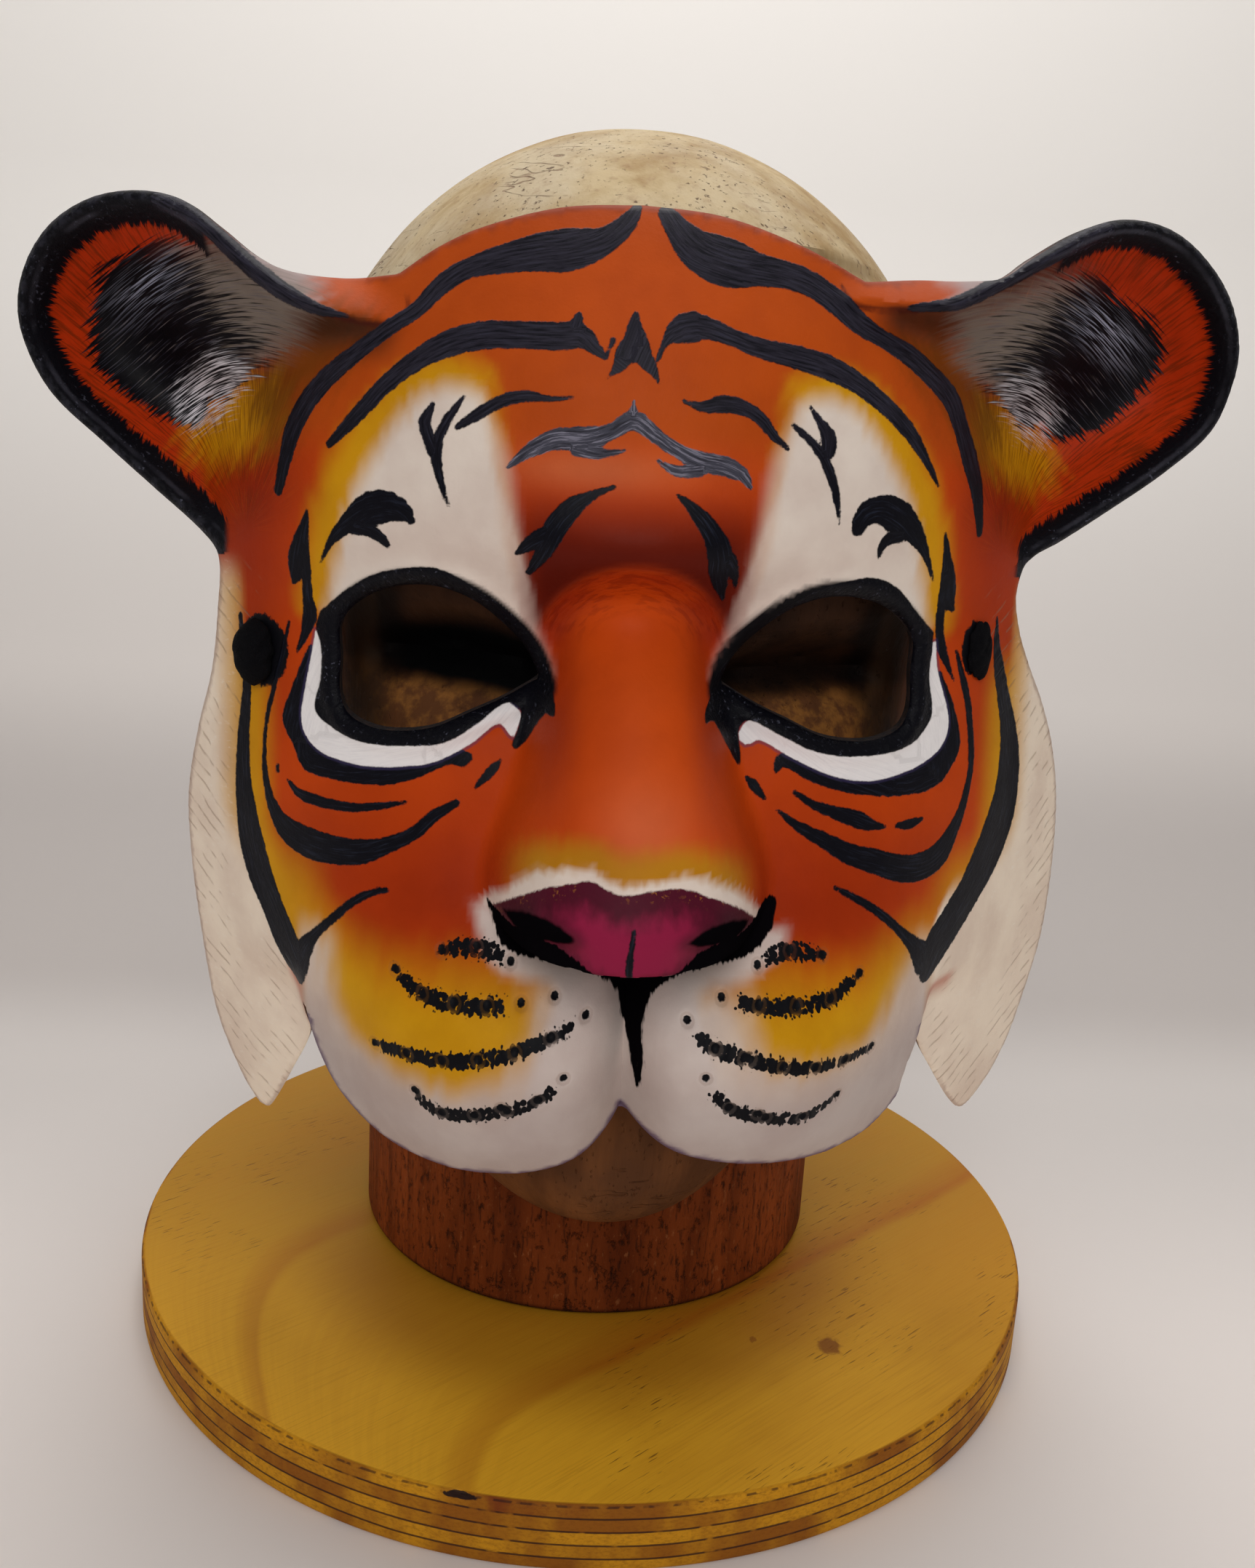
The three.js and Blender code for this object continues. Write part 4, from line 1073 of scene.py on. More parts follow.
# %% Edge of the nose
pad_distance = from_ring(nose_pad, px, pz)
fringe_distance = from_ring(nose_fringe, px, pz)
above_nose = smooth_step(123, 128, pz)
fade = pad_distance + 0.4 * streaks(px, pz, 90, 0.7, 3)
lay(NOSE_OCHRE, 0.92 * above_nose * smooth_step(7.4, 3.2, fade) * smooth_step(24, 16, a))
white_above = 1.0 + 0.8 * up_and_down(a, 4, 12, 16, 23)
lay(WARM_WHITE, 0.95 * above_nose * smooth_step(white_above + 0.9, white_above - 0.5, fade))
under_wing = fringe_distance + 0.3 * streaks(px, pz, 60, 0.8, 3)
lay(MUZZLE_WHITE, 0.9 * smooth_step(128.5, 126, pz + 3 * (px > 0)) * smooth_step(4.4, 1.6, under_wing)
    * smooth_step(8, 12, a))

# %% Patches inside the ears
EAR_ROOT_YELLOW = [[67, 220], [76, 219], [86, 213], [91, 207], [84, 201], [74, 204], [66, 211]]
EAR_GREY = [
    [58, 234], [66, 237], [76, 241], [90, 243], [99, 238], [94, 222], [84, 214], [74, 219],
    [62, 226],
]
EAR_DARK = {
    "left": [
        [97.3, 241.6], [105.7, 236.6], [109.3, 223.2], [104.6, 216], [94, 209.3], [88, 209],
        [84, 220], [80, 236], [88, 242],
    ],
    "right": [
        [84.9, 239.6], [97.1, 240.1], [104.3, 237.5], [110.4, 233], [111.6, 226.9],
        [108.8, 221.9], [99.9, 213.5], [90, 212], [86, 222],
    ],
}
EAR_TUFT = [[74, 220], [81, 223], [93, 215], [91, 209], [82, 211]]
EAR_ROOT_BROWN = [
    [49, 229], [57, 231], [66, 229], [74, 221], [73, 210], [67, 205], [61, 214], [53, 222],
]

# %% Paint of the ears
inside_ear = smooth_step(-1, 1, crest_distance) * on_ear
lay(EAR_RED, 0.9 * inside_ear * smooth_step(76, 90, a))
lay(MAROON, 0.75 * (mound(px, pz, 78, 243, 12, 4) + mound(px, pz, -76, 239, 10, 3.5)))
on_both_halves(YELLOW, 0.85, EAR_ROOT_YELLOW, 4, 2.0, 120, 0.8, 7)
# Brown at the root of each ear, below its folded lip: partly brown paint, partly painted shade under the
# fold.
on_both_halves(EAR_ROOT, 0.8, EAR_ROOT_BROWN, 5, 2.0, 120, 0.8, 7)
lay(BLACK, smooth_step(3.8, 2.4, crest_distance) * smooth_step(76, 84, a) * (pz > 186))
# Dark brown just under the folded lip: painted shade cast by the fold.
shadow_under_lip = up_and_down(crest_distance, -0.5, 1.0, 2, 10)
lay(LIP_SHADOW_BROWN, 0.85 * shadow_under_lip * up_and_down(a, 40, 48, 70, 82) * (pz > 218))
over_lip = smooth_step(0.4, -0.8, crest_distance) * (pz > 226)
lay(LIP_GREY, 0.85 * over_lip * smooth_step(54, 62, a + 2 * streaks(px, pz, 20, 1, 6))
    * smooth_step(78, 70, a))
lay(BLACK, over_lip * smooth_step(70, 80, a))
lay(BLACK, smooth_step(3.6, 2.6, from_eye))
top_edge = smooth_step(1.5, 0.3, from_cut + 0.6 * streaks(px, pz, 0, 1.5, 1.5)) * (pz > 232)
lay(CUT_BROWN, 0.6 * top_edge * smooth_step(56, 46, a))

# %% Back of the leather
lay(LEATHER_BROWN, np.where(is_front, 0, smooth_step(3.0, 6.0, from_eye)))
lay(BLACK, np.where(is_front, 0, 0.9 * on_ear))
wash_attribute = mask.data.color_attributes.new("wash", "FLOAT_COLOR", "POINT")
wash_attribute.data.foreach_set("color", np.column_stack([wash, np.ones(len(px))]).ravel())
print("washes laid on", len(px), "vertices")


# %% [markdown]
# ## Crisp paint as distances
#
# A vertex colour would blur a stripe's edge over a whole cell. A distance in millimetres doesn't:
# between two vertices it changes evenly, so the material can cut it at zero, and wobble the cut a
# little with noise as a brush does.

# %% Keep the distances of strokes and outlines on the vertices
LONG = 1e6  # for lengths along a stroke, which run on far past any distance


def keep(name, values, limit=FAR):
    attribute = mask.data.attributes.new(name, "FLOAT", "POINT")
    attribute.data.foreach_set("value", np.clip(values, -limit, limit).astype(np.float32))


def nearest_ring(rings, x=px, z=pz):
    return functools.reduce(np.minimum, [from_ring(ring, x, z) for ring in rings])


ink, ink_across, ink_along = from_strokes(stripes + NOSE_LINE + EAR_LIPS, px, pz)
keep("ink", np.minimum(ink, nearest_ring([crown_mark, *eye_layers["band"]])))
keep("ink_across", ink_across)
keep("ink_along", ink_along, LONG)
grey, grey_across, grey_along = from_strokes(GREY_STRIPE, px, pz)
keep("grey_stripe", grey)
keep("grey_across", grey_across)
keep("grey_along", grey_along, LONG)
keep("liner", nearest_ring(eye_layers["liner"]))
keep("rim", nearest_ring(eye_layers["rim"]))
keep("crease", from_strokes(EAR_CREASES, px, pz)[0])
keep("nose_pad", pad_distance)
keep("fringe", fringe_distance)
keep("nostrils", nearest_ring(nostrils))

# %% Rings of black round the tie's knots: [x, z, how narrow, radius]
TIE_RINGS = ((-70.6, 167.3, 0.82, 7.0), (68.7, 171.5, 0.6, 5.4))
keep("tie_ink", np.minimum(*[
    np.hypot((px - x) / narrow, pz - z) - radius for x, z, narrow, radius in TIE_RINGS]))

# %% Whisker rows, flaps and nose root
NOSE_TURN_LENGTH = 17  # millimetres of fold for each radian round the nose root

stipple = from_strokes(whisker_rows, px, pz)[0]
for gx, gz, radius in STIPPLE_GAPS:
    stipple = np.maximum(stipple, radius - np.hypot(px - gx, pz - gz))
keep("stipple", stipple)
keep("punch", punch_distance)
keep("scratch_phase", groove_phase, LONG)
keep("scratch_band", outer_band)
keep("from_cut", from_cut)
keep("flap", on_flap * smooth_step(-0.5, 4.5, beyond))
keep("nose_arch", nose_arch)
keep("above_eyes", above_eyes)
keep("nose_turn", np.arctan2(px - NOSE_ROOT[0], pz - NOSE_ROOT[1]) * NOSE_TURN_LENGTH, LONG)

# %% Fur in the ears
HAIR_CENTRE = (74, 190)  # the hairs in the ear lie on arcs round this place
HAIR_TURN_LENGTH = 45  # millimetres of hair for each radian of turn
EAR_MIDDLE = (96, 226)
RIM_TURN_LENGTH = 22
PALE_ARC_Z = (239, 235)

ear_fur = functools.reduce(np.minimum, [
    from_ring(closed_ring(ring, 1.5), px * sign, pz)
    for side, sign in (("left", -1), ("right", 1)) for ring in (EAR_DARK[side], EAR_GREY)])
tuft_shift = np.where(px < 0, 0.0, 2.0)
hair_x, hair_z = a - HAIR_CENTRE[0], pz - HAIR_CENTRE[1]
hair_out = np.hypot(hair_x, hair_z)
pale_arcs = mound(a, pz, 98, np.where(px < 0, *PALE_ARC_Z), 9, 7) * up_and_down(hair_out, 43, 46, 51, 55)
keep("ear_fur", ear_fur)
keep("ear_tuft", from_ring(closed_ring(EAR_TUFT, 1.5), a + tuft_shift, pz - tuft_shift))
keep("tuft_share", np.where(px < 0, 1.0, 0.7))
keep("ear_in", crest_distance + np.where(px < 0, 0.3, 1.0))
keep("ear_run", np.arctan2(pz - EAR_MIDDLE[1], a - EAR_MIDDLE[0]) * RIM_TURN_LENGTH, LONG)
keep("ear_rim", smooth_step(74, 84, a) * (pz > 184))
keep("ear_root", on_ear * smooth_step(-1, 2, crest_distance))
keep("hair_out", hair_out, LONG)
keep("hair_along", np.arctan2(hair_z, hair_x) * HAIR_TURN_LENGTH, LONG)
keep("hair_pale", smooth_step(25, 0, (a - 66) * 0.8 + (238 - pz) * 0.6))
keep("hair_bright", 0.6 * pale_arcs)
print("paint distances kept:", len(mask.data.attributes), "attributes in all")


# %% [markdown]
# ## Shader maths written as Python
#
# A material is a graph of nodes, which is slow to read as a list of links. Here one small class wraps
# a socket, so that sums and products on it add the Math nodes, and one method adds any other node.

# %% A wire between shader nodes
class Wire:
    def __init__(self, tree, socket=None):
        self.tree = tree
        self.socket = socket

    def node(self, kind, settings=(), sockets=(), output=0):
        """Adds a node of that type, sets its settings, then fills or links its sockets."""
        made = self.tree.nodes.new("ShaderNode" + kind)
        for name, value in dict(settings).items():
            setattr(made, name, value)
        for name, value in dict(sockets).items():
            if isinstance(value, Wire):
                self.tree.links.new(value.socket, made.inputs[name])
            else:
                made.inputs[name].default_value = value
        return Wire(self.tree, made.outputs[output] if len(made.outputs) else None)

    def maths(self, operation, *others):
        """A Math node on this wire, and on others where it takes more than one value."""
        return self.node("Math", {"operation": operation}, enumerate((self, *others)))

    def __add__(self, other):
        return self.maths("ADD", other)

    def __sub__(self, other):
        return self.maths("SUBTRACT", other)

    def __rsub__(self, other):
        return self.node("Math", {"operation": "SUBTRACT"}, {0: other, 1: self})

    def __mul__(self, other):
        return self.maths("MULTIPLY", other)

    def __truediv__(self, other):
        return self.maths("DIVIDE", other)

    def __abs__(self):
        return self.maths("ABSOLUTE")

    __radd__ = __add__
    __rmul__ = __mul__


# %% Shares and places made of wires
def clamp(value):
    return value.node("Math", {"operation": "ADD", "use_clamp": True}, {0: value, 1: 0.0})


def between(value, start, end):
    """0 at start, 1 at end and smooth between, either way round."""
    if start > end:
        return 1 - between(value, end, start)
    return value.node("MapRange", {"interpolation_type": "SMOOTHSTEP"},
                      {"Value": value, "From Min": start, "From Max": end})


def band(value, start, full, last, end):
    """0 before start, 1 from full to last and 0 past the end."""
    return between(value, start, full) * between(value, end, last)


def length(*parts):
    squares = [part * part for part in parts]
    return sum(squares[1:], squares[0]).maths("SQRT")


def joined(x, y, z=0.0):
    return x.node("CombineXYZ", (), {"X": x, "Y": y, "Z": z})


def in_millimetres(place):
    """The three coordinates of a place."""
    return [place.node("SeparateXYZ", (), {"Vector": place}, output=k) / MM for k in range(3)]


# %% Colours and noise
def mix(amount, first, second, blend="MIX"):
    """Mixes two colours, each a wire or three numbers."""
    first, second = (c if isinstance(c, Wire) else (*c, 1) for c in (first, second))
    return amount.node("Mix", {"data_type": "RGBA", "blend_type": blend},
                       {0: amount, 6: first, 7: second}, output=2)


def stretched(place, scale, turn=(0, 0, 0)):
    return place.node("Mapping", (), {"Vector": place, "Scale": scale, "Rotation": turn})


def noise(place, scale=1.0, detail=2.0, roughness=0.5, distortion=0.0, turn=(0, 0, 0)):
    """Noise of one scale, or drawn out along the axes where the scale is three numbers."""
    if isinstance(scale, tuple):
        place, scale = stretched(place, scale, turn), 1.0
    return place.node("TexNoise", (), {"Vector": place, "Scale": scale, "Detail": detail,
                                       "Roughness": roughness, "Distortion": distortion})


# %% The start and the end of a material
def material(name):
    """A material with nothing in it yet, a wire to add its nodes from, and the place of a point."""
    made = bpy.data.materials.new(name)
    made.use_nodes = True
    made.node_tree.nodes.clear()
    start = Wire(made.node_tree)
    return made, start, start.node("TexCoord", output=3)


def finish_material(start, sockets, height=None, bump_distance=MM, strength=1.0, dull=None):
    """Adds the shader itself, with bump from a height from 0 to 1, and dull black where wanted."""
    sockets = dict(sockets)
    if height is not None:
        sockets["Normal"] = start.node("Bump", (), {
            "Height": height, "Distance": bump_distance, "Strength": strength})
    shader = start.node("BsdfPrincipled", (), sockets)
    if dull is not None:
        matt = start.node("BsdfPrincipled", (), {
            "Base Color": (*pigment(10, 8, 11), 1), "Roughness": 0.95, "Specular IOR Level": 0.0})
        shader = start.node("MixShader", (), {0: dull, 1: shader, 2: matt})
    start.node("OutputMaterial", (), {"Surface": shader})
    print("finish of", len(start.tree.nodes), "nodes")


# %% [markdown]
# ## The paint on the leather
#
# The paint is acrylic on leather: satin, a little thicker where a black stroke or the white liner lies,
# and dragged into fine streaks along the stroke. The layers go on in the order of the real work, the
# soft washes first. Every crisp edge is a distance cut near zero, with noise added for the brush.

# %% Washes, and the noises that the layers share
painted, start, place = material("painted_leather")


def kept(name):
    """What the vertices keep under that name."""
    return start.node("Attribute", {"attribute_name": name}, output=2)


wobble = (noise(place, 620, 3.0) - 0.5) * 0.55
fine_wobble = (noise(place, 1900) - 0.5) * 0.35


def cut(name, reach=0.16, by=1.0):
    """1 inside an outline and 0 outside it, with a brushed edge."""
    return between(kept(name) + (wobble + fine_wobble) * by, reach, -reach)


hairs = noise(joined(kept("ink_across") * 2.6, kept("ink_along") * 0.16), 1.0, 4.0, 0.62)
grain = noise(place, 900, 4.0, 0.6)
cloud = noise(place, 60, 4.0, 0.55)
colour = start.node("Attribute", {"attribute_name": "wash"}, output=0)
colour = mix(between(cloud, 0.3, 0.75) * 0.2, colour, DEEP_ORANGE * 0.8, "MULTIPLY")

# %% Folds of the skin at the nose root
folds = noise(joined(kept("nose_turn") * 0.16, kept("nose_arch") * 0.95), 1.0, 3.0, 0.6)
fold_zone = band(kept("nose_arch"), -10, -3, -0.5, 1.5) * kept("above_eyes")
colour = mix(between(folds, 0.52, 0.4) * fold_zone * 0.45, colour, DEEP_ORANGE * 0.6)

# %% Slanting scratches and the worn edge of the cheek flaps
phase = kept("scratch_phase") + (noise(place, 120, 3.0) - 0.5) * 0.7
scratch = between(abs(phase.maths("FRACT") - 0.5), 0.13, 0.03)
scratch = scratch * between(noise(place, 210), 0.44, 0.6) * kept("scratch_band")
colour = mix(scratch * 0.4, colour, pigment(150, 118, 92))
scuffs = noise(place, (300, 300, 900), 4.0, 0.7, turn=(0, 0.6, 0))
colour = mix(between(scuffs, 0.55, 0.75) * 0.35 * kept("flap"), colour, pigment(252, 244, 232))
dirt = between(kept("from_cut") + wobble * 3.0, 1.3, 0.3) * kept("flap")
colour = mix(dirt * 0.4, colour, pigment(142, 104, 96))

# %% [markdown]
# ## Fur in the ears
#
# The ears are painted with single hairs that fan out from their root. The vertices keep how far along
# and across a hair each point lies, so noise stretched in those two directions gives the strands. The
# same strands push the outlines of the dark fur and of the black rim in and out, as a brush leaves
# them.

# %% Brown strokes of the ear root
hair_along, hair_out = kept("hair_along"), kept("hair_out")
strands = noise(joined(hair_along * 0.10, hair_out * 1.9), 1.0, 3.0, 0.6)
thin_strands = noise(joined(hair_along * 0.11, hair_out * 3.6, 7.0))
root_strokes = noise(joined(hair_along * 1.9, hair_out * 0.12, 3.0), 1.0, 3.0, 0.6)
dark_root = between(root_strokes, 0.45, 0.62) * 0.6 * kept("ear_root")
colour = mix(dark_root, colour, pigment(92, 38, 6))
light_root = between(root_strokes, 0.42, 0.3) * 0.3 * kept("ear_root") * (1 - kept("ear_rim"))
colour = mix(light_root, colour, pigment(226, 150, 30))

# %% Dark fur with pale hairs
fur_edge = kept("ear_fur") + (strands - 0.5) * 9
sharp_fur = between(fur_edge, 0.5, -0.5)
fur = sharp_fur + (between(fur_edge, 4, -5) - sharp_fur) * kept("hair_pale")
pale_hair = between(strands * 0.5 + thin_strands * 0.5 + kept("hair_pale") * 0.3, 0.56, 0.72)
fur_colour = mix(pale_hair * 0.85, pigment(10, 9, 14), pigment(134, 122, 112))
fur_colour = mix(between(thin_strands, 0.55, 0.68) * 0.4, fur_colour, pigment(84, 84, 100))
bright_hair = between(thin_strands, 0.47, 0.57) * kept("hair_bright")
fur_colour = mix(bright_hair, fur_colour, pigment(196, 202, 226))
colour = mix(fur, colour, fur_colour)
tuft = between(kept("ear_tuft") + (strands - 0.5) * 12, 2.0, -2.0)
tuft = tuft * between(thin_strands, 0.42, 0.62) * kept("tuft_share")
colour = mix(tuft, colour, pigment(222, 220, 228))

# %% Ragged inner edge of the black rim
rim_hairs = noise(joined(kept("ear_run") * 2.4, kept("ear_in") * 0.35), 1.0, 3.0, 0.6) - 0.5
rim_black = between(kept("ear_in") + rim_hairs * 4, 4.9, 4.3) * between(kept("ear_rim"), 0.35, 0.65)
colour = mix(rim_black, colour, pigment(13, 13, 19))

# %% [markdown]
# ## Grey stripe, nose and whiskers
#
# The stripe over the nose is black paint drawn grey, its streaks running from dark to light grey along
# the brush: a painted sheen of light on the black.
# The nose is pink, darker towards its edge, with nostrils of a dull black that takes no shine. The
# whisker rows are dabbed dots: round cells, cut where they leave the row.

# %% Grey stripe
grey_flow = joined(kept("grey_across") * 2.2, kept("grey_along") * 0.13, 5.0)
grey_hairs = noise(grey_flow, 1.0, 4.0, 0.65)
# Grey with lighter streaks stands for light on the black paint: a painted sheen.
grey_sheen_colour = mix(between(grey_hairs, 0.5, 0.62) * 0.85, pigment(66, 66, 78), pigment(130, 128, 144))
grey_sheen_colour = mix(between(grey_hairs, 0.46, 0.36) * 0.7, grey_sheen_colour, pigment(28, 26, 34))
colour = mix(cut("grey_stripe"), colour, grey_sheen_colour)

# %% Nose
PINK = pigment(146, 28, 66)
DARK_PINK = pigment(56, 12, 26)

pad_mask = cut("nose_pad", 0.2)
pad_edge = kept("nose_pad") + (noise(place, (500, 200, 260), 3.0) - 0.5) * 5
pad_colour = mix(between(pad_edge, -6.5, -1.8) * 0.85, PINK, DARK_PINK)
flecks = between(noise(place, 1500), 0.58, 0.66) * between(kept("nose_pad"), -2.2, -0.6)
flecks = flecks * between(noise(place, 160), 0.45, 0.6)
pad_colour = mix(flecks * 0.55, pad_colour, pigment(176, 110, 40))
colour = mix(pad_mask, colour, pad_colour)
colour = mix(between(kept("nostrils"), 3.0, 0.1) * 0.6 * pad_mask, colour, DARK_PINK)
nostril = between(kept("nostrils") + wobble, 0.4, -0.4)
fringe_hair = (noise(place, (1500, 300, 300)) - 0.5) * 1.6
matt_black = clamp(nostril + between(kept("fringe") + fringe_hair, 0.2, -0.2))

# %% Whisker dots and the punched dents between them
unspotted = colour
dots = start.node("TexVoronoi", {"feature": "F1"},
                  {"Vector": stretched(place, (1.0, 1.0, 0.62)), "Scale": 1250.0})
in_row = between(kept("stipple") + wobble * 1.4, 0.5, -0.6)
dot_mask = between(dots + (1 - in_row) * 0.6, 0.90, 0.76)
colour = mix(dot_mask * between(kept("stipple"), 0.7, 0.4), colour, BLACK)
from_dent = kept("punch") + fine_wobble
ring = between(kept("punch"), 0.75, 0.95) * between(from_dent, 1.5, 1.2)
colour = mix(ring * (0.75 - 0.68 * in_row), colour, mix(ring * 0.25, unspotted, LEATHER_BROWN))
colour = mix(between(from_dent, 0.85, 0.6), colour, BLACK)

# %% [markdown]
# ## Black strokes, liner and rims
#
# The strokes are black, with bluish streaks along the brush that are a painted sheen, and paler
# towards the crown, a painted highlight where they catch the light. The white liner lies over them
# with a violet shadow at its edge. On the eye rims and the bead round the ears, lighter specks and a
# soft line along the top are painted glints and a painted highlight.

# %% Creases, strokes and liner
INK = pigment(12, 12, 20)

# Dark lines in the creases where the ears' folds run out: painted shade.
colour = mix(between(kept("crease") + wobble, 0.5, -0.3) * 0.8, colour, pigment(70, 18, 8))
colour = mix(between(kept("tie_ink") + wobble * 3 + fine_wobble * 3, 0.3, -0.3), colour, BLACK)
ink = cut("ink")
# Bluish streaks along each stroke: a painted sheen on the black.
ink_colour = mix(between(hairs, 0.5, 0.78) * 0.6, INK, pigment(50, 56, 74))
# Paler strokes towards the crown: a painted highlight where they face the light.
near_crown = between(in_millimetres(place)[2], 198, 222)
ink_colour = mix(near_crown * between(hairs, 0.3, 0.6) * 0.4, ink_colour, pigment(66, 62, 76))
colour = mix(ink, colour, ink_colour)
liner = cut("liner", 0.16, 0.5)
liner_colour = mix(between(hairs, 0.4, 0.7) * 0.4, pigment(246, 242, 242), pigment(222, 218, 222))
violet = between(kept("liner") + wobble * 0.4, 0.75, 0.3)
colour = mix(violet * 0.5, colour, pigment(60, 52, 92))
colour = mix(liner, colour, liner_colour)
rim = cut("rim", 0.16, 0.6)
colour = mix(rim, colour, INK * 0.8)

# %% Painted glints, highlight and sheen on the rims of eyes and ears
# Light specks on the rough black paint of the rims: painted glints.
specks = between(noise(place, 1100, 3.0, 0.6), 0.60, 0.68) * between(noise(place, 240), 0.42, 0.6)
on_bead = clamp(rim_black * between(kept("ear_in"), 4.5, 3.0) + rim)
colour = mix(on_bead * specks * 0.8, colour, pigment(78, 80, 94))
# A soft light line along the ear's bead: a painted highlight.
bead = between(abs(kept("ear_in") + wobble * 0.8 - 1.9), 0.6, 0.1)
bead = bead * between(noise(place, 90, 3.0), 0.35, 0.65)
colour = mix(bead * kept("ear_rim") * 0.35, colour, pigment(84, 84, 96))
sheen = between(kept("ear_in"), 1.6, 0.2) * between(noise(place, 500, 4.0), 0.42, 0.62)
colour = mix(sheen * kept("ear_rim") * 0.3, colour, pigment(72, 72, 84))

# %% Thickness and shine of the paint
thick = clamp(ink * 0.6 + liner * 0.8 + rim * 0.4)
height = thick * (0.5 + 0.5 * hairs) + on_bead * grain * 1.2 + grain * 0.3
height = height + folds * fold_zone * 1.4 - scratch * 0.8
roughness = 0.44 + 0.14 * grain - clamp(ink + rim) * 0.12 + kept("flap") * 0.16
finish_material(start, {
    "Base Color": colour, "Roughness": roughness, "Specular IOR Level": 0.09,
}, height, 0.35 * MM, 0.55, dull=matt_black)

# %% [markdown]
# ## Bare leather, and both finishes on the sheet
#
# The cut edge and the back are bare leather, matt and soft like suede. Only faces whose corners all
# lie on the front get the paint, and every other face gets the bare finish.

# %% Cut edge and back of the leather
bare, start, place = material("bare_leather")
suede = noise(place, 700, 5.0, 0.65)
colour = start.node("Attribute", {"attribute_name": "wash"}, output=0)
colour = mix(between(suede, 0.35, 0.7) * 0.55, colour, pigment(70, 45, 34))
finish_material(start, {"Base Color": colour, "Roughness": 0.82}, suede, 0.5 * MM, 0.8)

# %% Paint on the front, bare leather elsewhere
mask.data.materials.append(painted)
mask.data.materials.append(bare)
loops = np.empty(len(mask.data.loops), np.int32)
mask.data.loops.foreach_get("vertex_index", loops)
starts = np.empty(len(mask.data.polygons), np.int32)
mask.data.polygons.foreach_get("loop_start", starts)
all_front = np.minimum.reduceat(is_front[loops].astype(int), starts)
mask.data.polygons.foreach_set("material_index", 1 - all_front)
select_only(mask)
bpy.ops.object.shade_smooth_by_angle(angle=math.radians(50))
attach(mask, "root")
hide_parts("mask")
triangles = int((np.diff(np.append(starts, len(loops))) - 2).sum())
print("tiger_mask:", triangles, "triangles")


# %% [markdown]
# ## The wooden head
#
# The head is carved wood, worn pale on top. A UV sphere has the right layout for it, rings round a
# standing axis, so each ring is drawn out to the head's breadth and its reach to the front and back.
# Behind the mask the wood stays clear of the leather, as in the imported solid.

# %% Profiles of the head
HEAD_TOP = 273.8
CHIN_BOTTOM = 49
HEAD_AXIS_Y = 8
FIT_GAP = 1.0
FIT_REACH = 6
HEAD_HALF_BREADTH = [
    [49, 16], [52, 30], [59, 41], [71, 50], [90, 57], [115, 62], [140, 67], [165, 72], [188, 74],
    [210, 71.5], [230, 64.5], [248, 53], [260, 40.3], [268, 26.8], [272.3, 13.8], [273.8, 0],
]
HEAD_FRONT = [
    [49, 66], [52, 80], [59, 88], [71, 91.5], [85, 90], [100, 93], [120, 94], [145, 93],
    [165, 92], [188, 97], [205, 98], [222, 91], [238, 80], [252, 65.5], [262, 50], [270, 29],
    [273, 13], [273.8, 0],
]
HEAD_BACK = [
    [49, 20], [52, 32], [59, 42], [71, 50], [90, 62], [115, 78], [140, 89], [165, 94],
    [188, 95], [210, 91.8], [230, 82.8], [248, 68], [260, 51.7], [268, 34.4], [272.3, 17.7],
    [273.8, 0],
]


# %% Room behind the mask, and the carved face
def upright(x, z):
    """A place on the head as it lies in the mask's own upright frame."""
    c, s = math.cos(LEAN), math.sin(LEAN)
    dx, dz = x - LEAN_ABOUT[0], z - LEAN_ABOUT[1]
    return LEAN_ABOUT[0] + dx * c + dz * s, LEAN_ABOUT[1] - dx * s + dz * c


def room_behind_mask(x, z):
    """How far the wood may come forward of its axis and stay behind the leather all round."""
    room = np.full(x.shape, np.inf)
    for dx in (-FIT_REACH, 0, FIT_REACH):
        for dz in (-FIT_REACH, 0, FIT_REACH):
            room = np.minimum(room, mask_depth(x + dx, z + dz) - wall_along_y(x + dx, z + dz))
    return room - FIT_GAP + HEAD_AXIS_Y


def head_reach(x, z, forward):
    """The carved face, added to how far the wood stands forward of its axis."""
    a = np.abs(x)
    forward = forward + 11 * mound(a, z, 0, 143, 11, 15)  # nose
    forward += 4 * mound(a, z, 0, 165, 9, 16)
    forward -= 14 * mound(a, z, 32, 168, 19, 13)  # eye sockets
    lid = 168 - 3 * ((a - 34) / 18) ** 2
    forward -= 6 * np.exp(-(((z - lid) / 3.6) ** 2)) * up_and_down(a, 10, 18, 46, 54)
    forward -= 7 * mound(a, z, 19, 158, 8, 13)  # sides of the nose
    forward += 3 * mound(a, z, 30, 186, 24, 7)  # brow bone
    forward += 3.5 * mound(a, z, 0, 114, 20, 5)  # lips
    forward -= 3 * mound(a, z, 0, 98, 20, 6)  # hollow over the chin
    return forward


# %% Draw the sphere out to a head
HEAD_SEGMENTS = 176
HEAD_RINGS = 150
COVERED_HALF = 78  # the mask covers this much to each side of the middle
COVERED_Z = (92, 252)
FREE_ROOM = 14

deselect_all()
bpy.ops.mesh.primitive_uv_sphere_add(segments=HEAD_SEGMENTS, ring_count=HEAD_RINGS, radius=1)
head = bpy.context.object
head.name = head.data.name = "wooden_head"
ball = coordinates(head.data)
angle = np.arctan2(ball[:, 0], -ball[:, 1])
rise = np.arccos(np.clip(ball[:, 2], -1, 1)) / math.pi  # 0 at the crown, 1 under the chin
down = 0.5 * rise + 0.25 * (1 - np.cos(math.pi * rise))  # rings lie closer at the crown and chin
hz = HEAD_TOP - (HEAD_TOP - CHIN_BOTTOM) * down
s, c = np.sin(angle), np.cos(angle)
hx = through(HEAD_HALF_BREADTH, hz) * np.sign(s) * np.abs(s) ** 0.94
reach = np.where(c > 0, through(HEAD_FRONT, hz), through(HEAD_BACK, hz))
forward = reach * np.sign(c) * np.abs(c) ** 0.96
